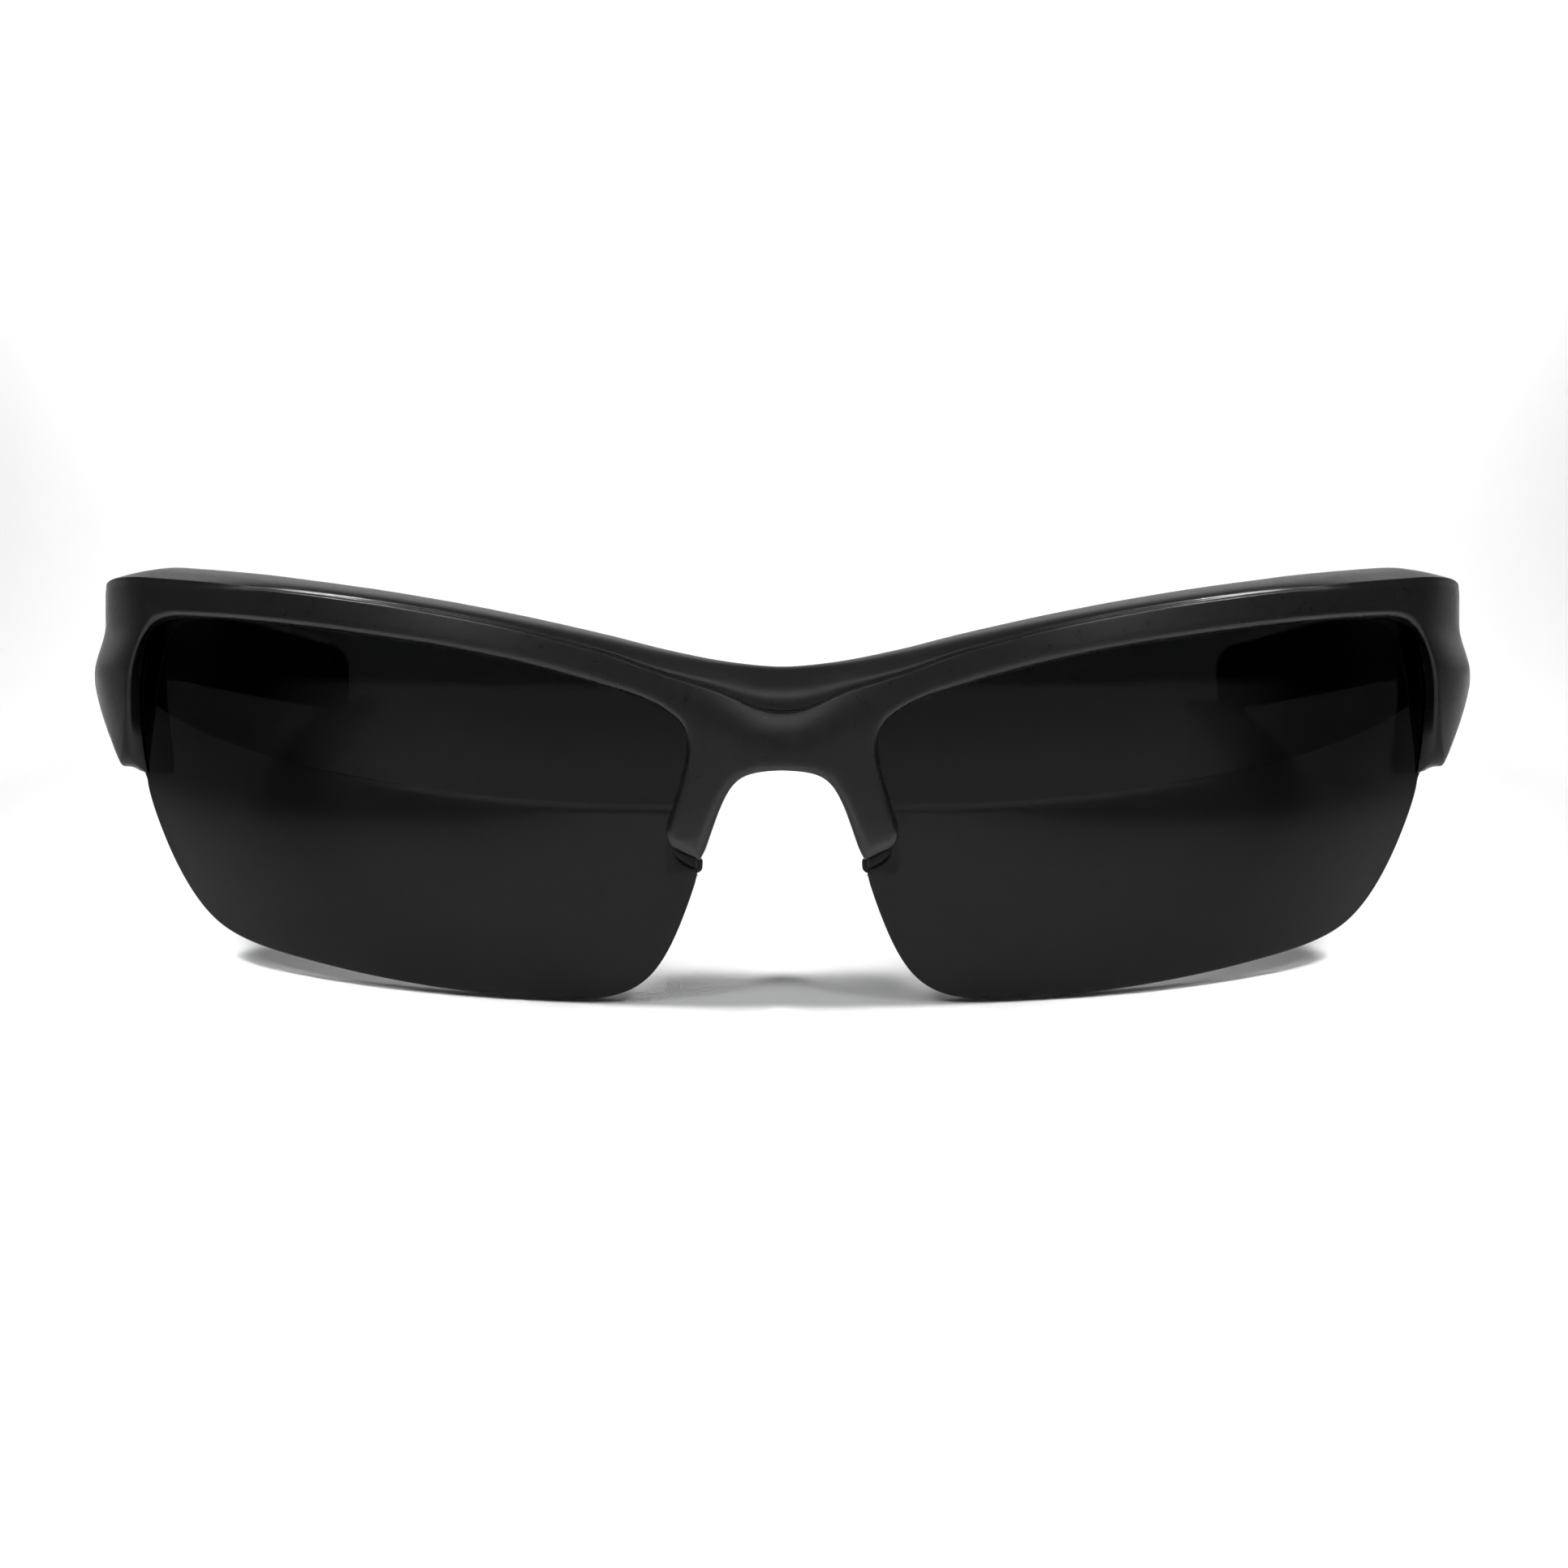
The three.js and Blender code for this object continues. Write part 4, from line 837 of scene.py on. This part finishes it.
def moulded(name, base, spread, rough, rough_spread, grain, grain_depth, specular=0.5, wear=0.0):
    """moulded plastic or rubber: broad tone drift, fine moulded grain, rubbed edges"""
    m, nt, bsdf = node_material(name)
    co = nt.nodes.new("ShaderNodeTexCoord")
    broad = add_noise(nt, 90, 3, 0.5, co)
    fine = add_noise(nt, grain, 4, 0.6, co)
    mid = add_noise(nt, 1100, 3, 0.55, co)
    mix = nt.nodes.new("ShaderNodeMix")
    mix.data_type = "RGBA"
    mix.inputs["A"].default_value = (*[max(c - spread, 0.0005) for c in base], 1)
    mix.inputs["B"].default_value = (*[c + spread for c in base], 1)
    nt.links.new(ramp(nt, broad.outputs["Fac"], 0.3, 0.7, 0, 1).outputs["Result"], mix.inputs["Factor"])
    color = mix.outputs["Result"]
    if wear:
        geo = nt.nodes.new("ShaderNodeNewGeometry")
        edge = ramp(nt, geo.outputs["Pointiness"], 0.53, 0.60, 0, wear)
        lift = nt.nodes.new("ShaderNodeMix")
        lift.data_type = "RGBA"
        lift.inputs["B"].default_value = (*[c * 1.9 + 0.004 for c in base], 1)
        nt.links.new(edge.outputs["Result"], lift.inputs["Factor"])
        nt.links.new(color, lift.inputs["A"])
        color = lift.outputs["Result"]
    nt.links.new(color, bsdf.inputs["Base Color"])
    rr = ramp(nt, mid.outputs["Fac"], 0.3, 0.7, rough - rough_spread, rough + rough_spread)
    nt.links.new(rr.outputs["Result"], bsdf.inputs["Roughness"])
    bump = nt.nodes.new("ShaderNodeBump")
    bump.inputs["Strength"].default_value = 1.0
    bump.inputs["Distance"].default_value = grain_depth
    nt.links.new(fine.outputs["Fac"], bump.inputs["Height"])
    nt.links.new(bump.outputs["Normal"], bsdf.inputs["Normal"])
    bsdf.inputs["Specular IOR Level"].default_value = specular
    bsdf.inputs["IOR"].default_value = 1.5
    return m


def lens_material():
    m, nt, bsdf = node_material("smoke_polycarbonate")
    co = nt.nodes.new("ShaderNodeTexCoord")
    drift = add_noise(nt, 35, 2, 0.5, co)
    mix = nt.nodes.new("ShaderNodeMix")
    mix.data_type = "RGBA"
    mix.inputs["A"].default_value = (0.0036, 0.0037, 0.0039, 1)
    mix.inputs["B"].default_value = (0.0042, 0.0043, 0.0045, 1)
    nt.links.new(drift.outputs["Fac"], mix.inputs["Factor"])
    nt.links.new(mix.outputs["Result"], bsdf.inputs["Base Color"])
    haze = add_noise(nt, 700, 5, 0.6, co)
    nt.links.new(ramp(nt, haze.outputs["Fac"], 0.35, 0.75, 0.018, 0.05).outputs["Result"], bsdf.inputs["Roughness"])
    bsdf.inputs["Transmission Weight"].default_value = 1.0
    bsdf.inputs["IOR"].default_value = 1.26
    bsdf.inputs["Specular IOR Level"].default_value = 0.5
    return m


def steel_material(name, base, rough, spread):
    m, nt, bsdf = node_material(name)
    co = nt.nodes.new("ShaderNodeTexCoord")
    sep = nt.nodes.new("ShaderNodeMapping")
    sep.inputs["Scale"].default_value = (1.0, 1.0, 14.0)
    nt.links.new(co.outputs["Object"], sep.inputs["Vector"])
    n = nt.nodes.new("ShaderNodeTexNoise")
    n.inputs["Scale"].default_value = 900
    n.inputs["Detail"].default_value = 4
    nt.links.new(sep.outputs["Vector"], n.inputs["Vector"])
    mix = nt.nodes.new("ShaderNodeMix")
    mix.data_type = "RGBA"
    mix.inputs["A"].default_value = (*[c * 0.8 for c in base], 1)
    mix.inputs["B"].default_value = (*[c * 1.2 for c in base], 1)
    nt.links.new(n.outputs["Fac"], mix.inputs["Factor"])
    nt.links.new(mix.outputs["Result"], bsdf.inputs["Base Color"])
    nt.links.new(ramp(nt, n.outputs["Fac"], 0.3, 0.7, rough - spread, rough + spread).outputs["Result"], bsdf.inputs["Roughness"])
    bump = nt.nodes.new("ShaderNodeBump")
    bump.inputs["Distance"].default_value = 0.000008
    nt.links.new(n.outputs["Fac"], bump.inputs["Height"])
    nt.links.new(bump.outputs["Normal"], bsdf.inputs["Normal"])
    bsdf.inputs["Metallic"].default_value = 1.0
    return m


NYLON = moulded("satin_black_nylon", (0.0055, 0.0055, 0.0056), 0.0010, 0.30, 0.03, 6500, 0.0000008, 0.4, wear=0.2)
RUBBER = moulded("soft_black_rubber", (0.006, 0.006, 0.0062), 0.0012, 0.72, 0.06, 4200, 0.000006, 0.25)
SLEEVE = moulded("soft_black_sleeve", (0.008, 0.008, 0.0082), 0.0015, 0.62, 0.06, 4800, 0.000006, 0.35)
LENS_MAT = lens_material()
STEEL = steel_material("darkened_steel", (0.16, 0.16, 0.168), 0.34, 0.07)
SCREW = steel_material("screw_steel", (0.42, 0.42, 0.43), 0.26, 0.06)


def finish_piece(ob, mat, body, node):
    ob.data.materials.clear()
    ob.data.materials.append(mat)
    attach(ob, body)
    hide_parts(node)


# ------------------------------------------------------------------ camera, floor, light
def worn_matrix():
    """rotation whose columns are the worn axes in the row frame"""
    return Matrix(((1, 0, 0), (0, CS, SN), (0, -SN, CS)))


CAM_D, CAM_X, CAM_Z = 600.0, 0.16, 0.0
cam = bpy.data.cameras.new("camera")
cam.sensor_width = 36.0
cam.lens = 7700.0 / 1932.0 * 36.0
cam.clip_start, cam.clip_end = 0.05, 50
cam_ob = bpy.data.objects.new("camera", cam)
scene.collection.objects.link(cam_ob)
basis = worn_matrix()
look = basis @ Vector((0, 1, 0))
up = basis @ Vector((0, 0, 1))
side = basis @ Vector((1, 0, 0))
rot = Matrix((side, up, -look)).transposed()
cam_ob.matrix_world = Matrix.Translation(Vector(row([CAM_X, -CAM_D, CAM_Z]))) @ rot.to_4x4()
scene.camera = cam_ob

floor = bpy.data.meshes.new("floor")
floor.from_pydata([(-1.6, -1.05, 0), (1.6, -1.05, 0), (1.6, 2.2, 0), (-1.6, 2.2, 0)], [], [(0, 1, 2, 3)])
floor_ob = bpy.data.objects.new("floor", floor)
scene.collection.objects.link(floor_ob)
fm, fnt, fb = node_material("pale_floor")
fb.inputs["Base Color"].default_value = (0.86, 0.86, 0.86, 1)
fb.inputs["Roughness"].default_value = 0.9
fb.inputs["Specular IOR Level"].default_value = 0.1
floor.materials.append(fm)

world = bpy.data.worlds.new("world")
scene.world = world
world.use_nodes = True
wn = world.node_tree
wn.nodes.clear()
w_out = wn.nodes.new("ShaderNodeOutputWorld")
w_bg = wn.nodes.new("ShaderNodeBackground")
w_co = wn.nodes.new("ShaderNodeTexCoord")
w_map = wn.nodes.new("ShaderNodeMapping")
w_map.inputs["Rotation"].default_value = (TILT, 0, 0)
w_sep = wn.nodes.new("ShaderNodeSeparateXYZ")
w_top = wn.nodes.new("ShaderNodeSeparateXYZ")
wn.links.new(w_co.outputs["Generated"], w_map.inputs["Vector"])
wn.links.new(w_map.outputs["Vector"], w_sep.inputs["Vector"])
wn.links.new(w_co.outputs["Generated"], w_top.inputs["Vector"])


def w_range(src, a, b, lo, hi):
    r = wn.nodes.new("ShaderNodeMapRange")
    r.interpolation_type = "SMOOTHSTEP"
    for k, v in (("From Min", a), ("From Max", b), ("To Min", lo), ("To Max", hi)):
        r.inputs[k].default_value = v
    wn.links.new(src, r.inputs["Value"])
    return r.outputs["Result"]


def w_math(op, a, b):
    m = wn.nodes.new("ShaderNodeMath")
    m.operation = op
    for k, v in ((0, a), (1, b)):
        if isinstance(v, (int, float)):
            m.inputs[k].default_value = v
        else:
            wn.links.new(v, m.inputs[k])
    return m.outputs["Value"]


# studio: white wall behind, dark ahead above eye level, a pale band ahead below it, a soft ceiling
BACK, BAND, CEILING, DARK = 0.62, 0.8, 0.22, 0.01
wall = w_math("MULTIPLY", w_range(w_sep.outputs["Y"], 0.4, 0.75, 0.0, BACK), w_range(w_top.outputs["Z"], 0.55, 0.8, 1.0, 0.0))
band = w_math("MULTIPLY", w_range(w_sep.outputs["Y"], -0.75, -0.2, BAND, 0.0), w_range(w_sep.outputs["Z"], 0.10, 0.135, 1.0, 0.0))
band = w_math("MULTIPLY", band, w_range(w_top.outputs["Z"], 0.0, 0.3, 1.0, 0.5))
roof = w_range(w_sep.outputs["Z"], 0.7, 0.9, 0.0, CEILING)
total = w_math("ADD", w_math("ADD", wall, band), w_math("ADD", roof, DARK))
wn.links.new(total, w_bg.inputs["Strength"])
w_bg.inputs["Color"].default_value = (1, 1, 1, 1)
wn.links.new(w_bg.outputs["Background"], w_out.inputs["Surface"])


SIDE, REAR, FORE, SPOT = 0.42, 3.9, 4.4, 0.034


def area(name, loc, target, size, power, size_y=None, spread=180):
    L = bpy.data.lights.new(name, "AREA")
    L.shape = "RECTANGLE"
    L.size, L.size_y = size, size_y or size
    L.energy = power
    L.spread = math.radians(spread)
    ob = bpy.data.objects.new(name, L)
    scene.collection.objects.link(ob)
    ob.location = loc
    ob.rotation_euler = (Vector(target) - Vector(loc)).to_track_quat("-Z", "Y").to_euler()
    return ob


for k, sx in enumerate((-1, 1)):
    area("side_strip_%d" % k, (sx * 0.34, 0.1, 0.41), (sx * 0.058, 0.1, 0), 1.1, SIDE, 0.11, 15)
area("rear_softbox", (0, 0.95, 0.6), (0, 0.95, 0), 0.95, REAR, 1.2, 75)
for k, sx in enumerate((-1, 1)):
    area("front_spot_%d" % k, (sx * 0.42, -0.46, 0.55), (sx * 0.01, -0.02, 0), 0.2, SPOT, 0.2, 20)
area("front_softbox", (0, -1.15, 0.6), (0, -1.15, 0), 1.6, FORE, 1.3, 84)
area("far_floor_strip", (0, -0.80, 0.3), (0, -0.80, 0), 2.0, 1.6, 0.40, 30)
area("bridge_strip", (0, -0.40, 0.36), (0, 0.0, 0.03), 0.25, 0.2, 0.08)
scene.view_settings.view_transform = "Standard"
scene.view_settings.look = "None"

# ------------------------------------------------------------------ build the pieces
V, Q = build_front()
front = new_mesh("front", V, Q)
soften_normals(front)
finish_piece(front, NYLON, "front", "frame_front")

LENS_DATA = build_lens()
for name, sgn in (("left", 1), ("right", -1)):
    finish_piece(lens_object("smoke_lens_" + name, sgn), LENS_MAT, "front", "lens_" + name)

V, Q = build_pad()
for name, sgn in (("left", 1), ("right", -1)):
    v, q = (V, Q) if sgn > 0 else (mirror_x(V), Q[:, ::-1])
    finish_piece(new_mesh("rubber_nose_pad_" + name, row(v), q), RUBBER, "front", "nose_pad_" + name)

V, F = build_temple()
for name, sgn in (("left", 1), ("right", -1)):
    v, f = (V, F) if sgn > 0 else (mirror_x(V), [x[::-1] for x in F])
    finish_piece(new_mesh("temple_arm_" + name, row(v), f), NYLON, "temple_arm_" + name, "temple_" + name)
V, F = build_sleeve()
for name, sgn in (("left", 1), ("right", -1)):
    v, f = (V, F) if sgn > 0 else (mirror_x(V), [x[::-1] for x in F])
    finish_piece(new_mesh("rubber_sleeve_" + name, row(v), f), SLEEVE, "temple_arm_" + name, "temple_tip_" + name)

for temple in (False, True):
    V, Q = build_leaf(temple)
    for name, sgn in (("left", 1), ("right", -1)):
        v, q = (V, Q) if sgn > 0 else (mirror_x(V), Q[:, ::-1])
        node = ("hinge_temple_leaf_" if temple else "hinge_front_leaf_") + name
        body = ("temple_arm_" + name) if temple else "front"
        finish_piece(new_mesh("steel_" + node, row(v), q), STEEL, body, node)

prof = [(0, 62.2), (0.8, 62.2), (1.05, 62.3), (1.15, 62.5), (1.15, 62.8), (0.6, 62.8), (0.6, 66.1), (0, 66.6)]
V, Q = build_screw(prof, -0.32, True, 62.2, 0.07)
for k, zs in (("lower", SCREW_Z[0]), ("upper", SCREW_Z[1])):
    for part, ys in (("front", 33.3), ("temple", 44.2)):
        for name, sgn in (("left", 1), ("right", -1)):
            v = np.stack([V[:, 2], V[:, 0] + ys, V[:, 1] + zs], 1)
            q = Q
            if sgn < 0:
                v, q = mirror_x(v), Q[:, ::-1]
            node = "%s_leaf_screw_%s_%s" % (part, k, name)
            body = "front" if part == "front" else "temple_arm_" + name
            finish_piece(new_mesh("steel_" + node, row(v), q), SCREW, body, node)
prof = [(0, 12.5), (0.65, 12.8), (0.65, 19.8), (1.25, 19.8), (1.25, 20.15), (1.05, 20.35), (0.8, 20.4), (0, 20.4)]
V, Q = build_screw(prof, 0.3, False, 20.4, 0.07)
for name, sgn in (("left", 1), ("right", -1)):
    v = np.stack([V[:, 0] + HX, V[:, 1] + HY, V[:, 2]], 1)
    q = Q
    if sgn < 0:
        v, q = mirror_x(v), Q[:, ::-1]
    node = "hinge_pivot_screw_" + name
    finish_piece(new_mesh("steel_" + node, row(v), q), SCREW, "front", node)
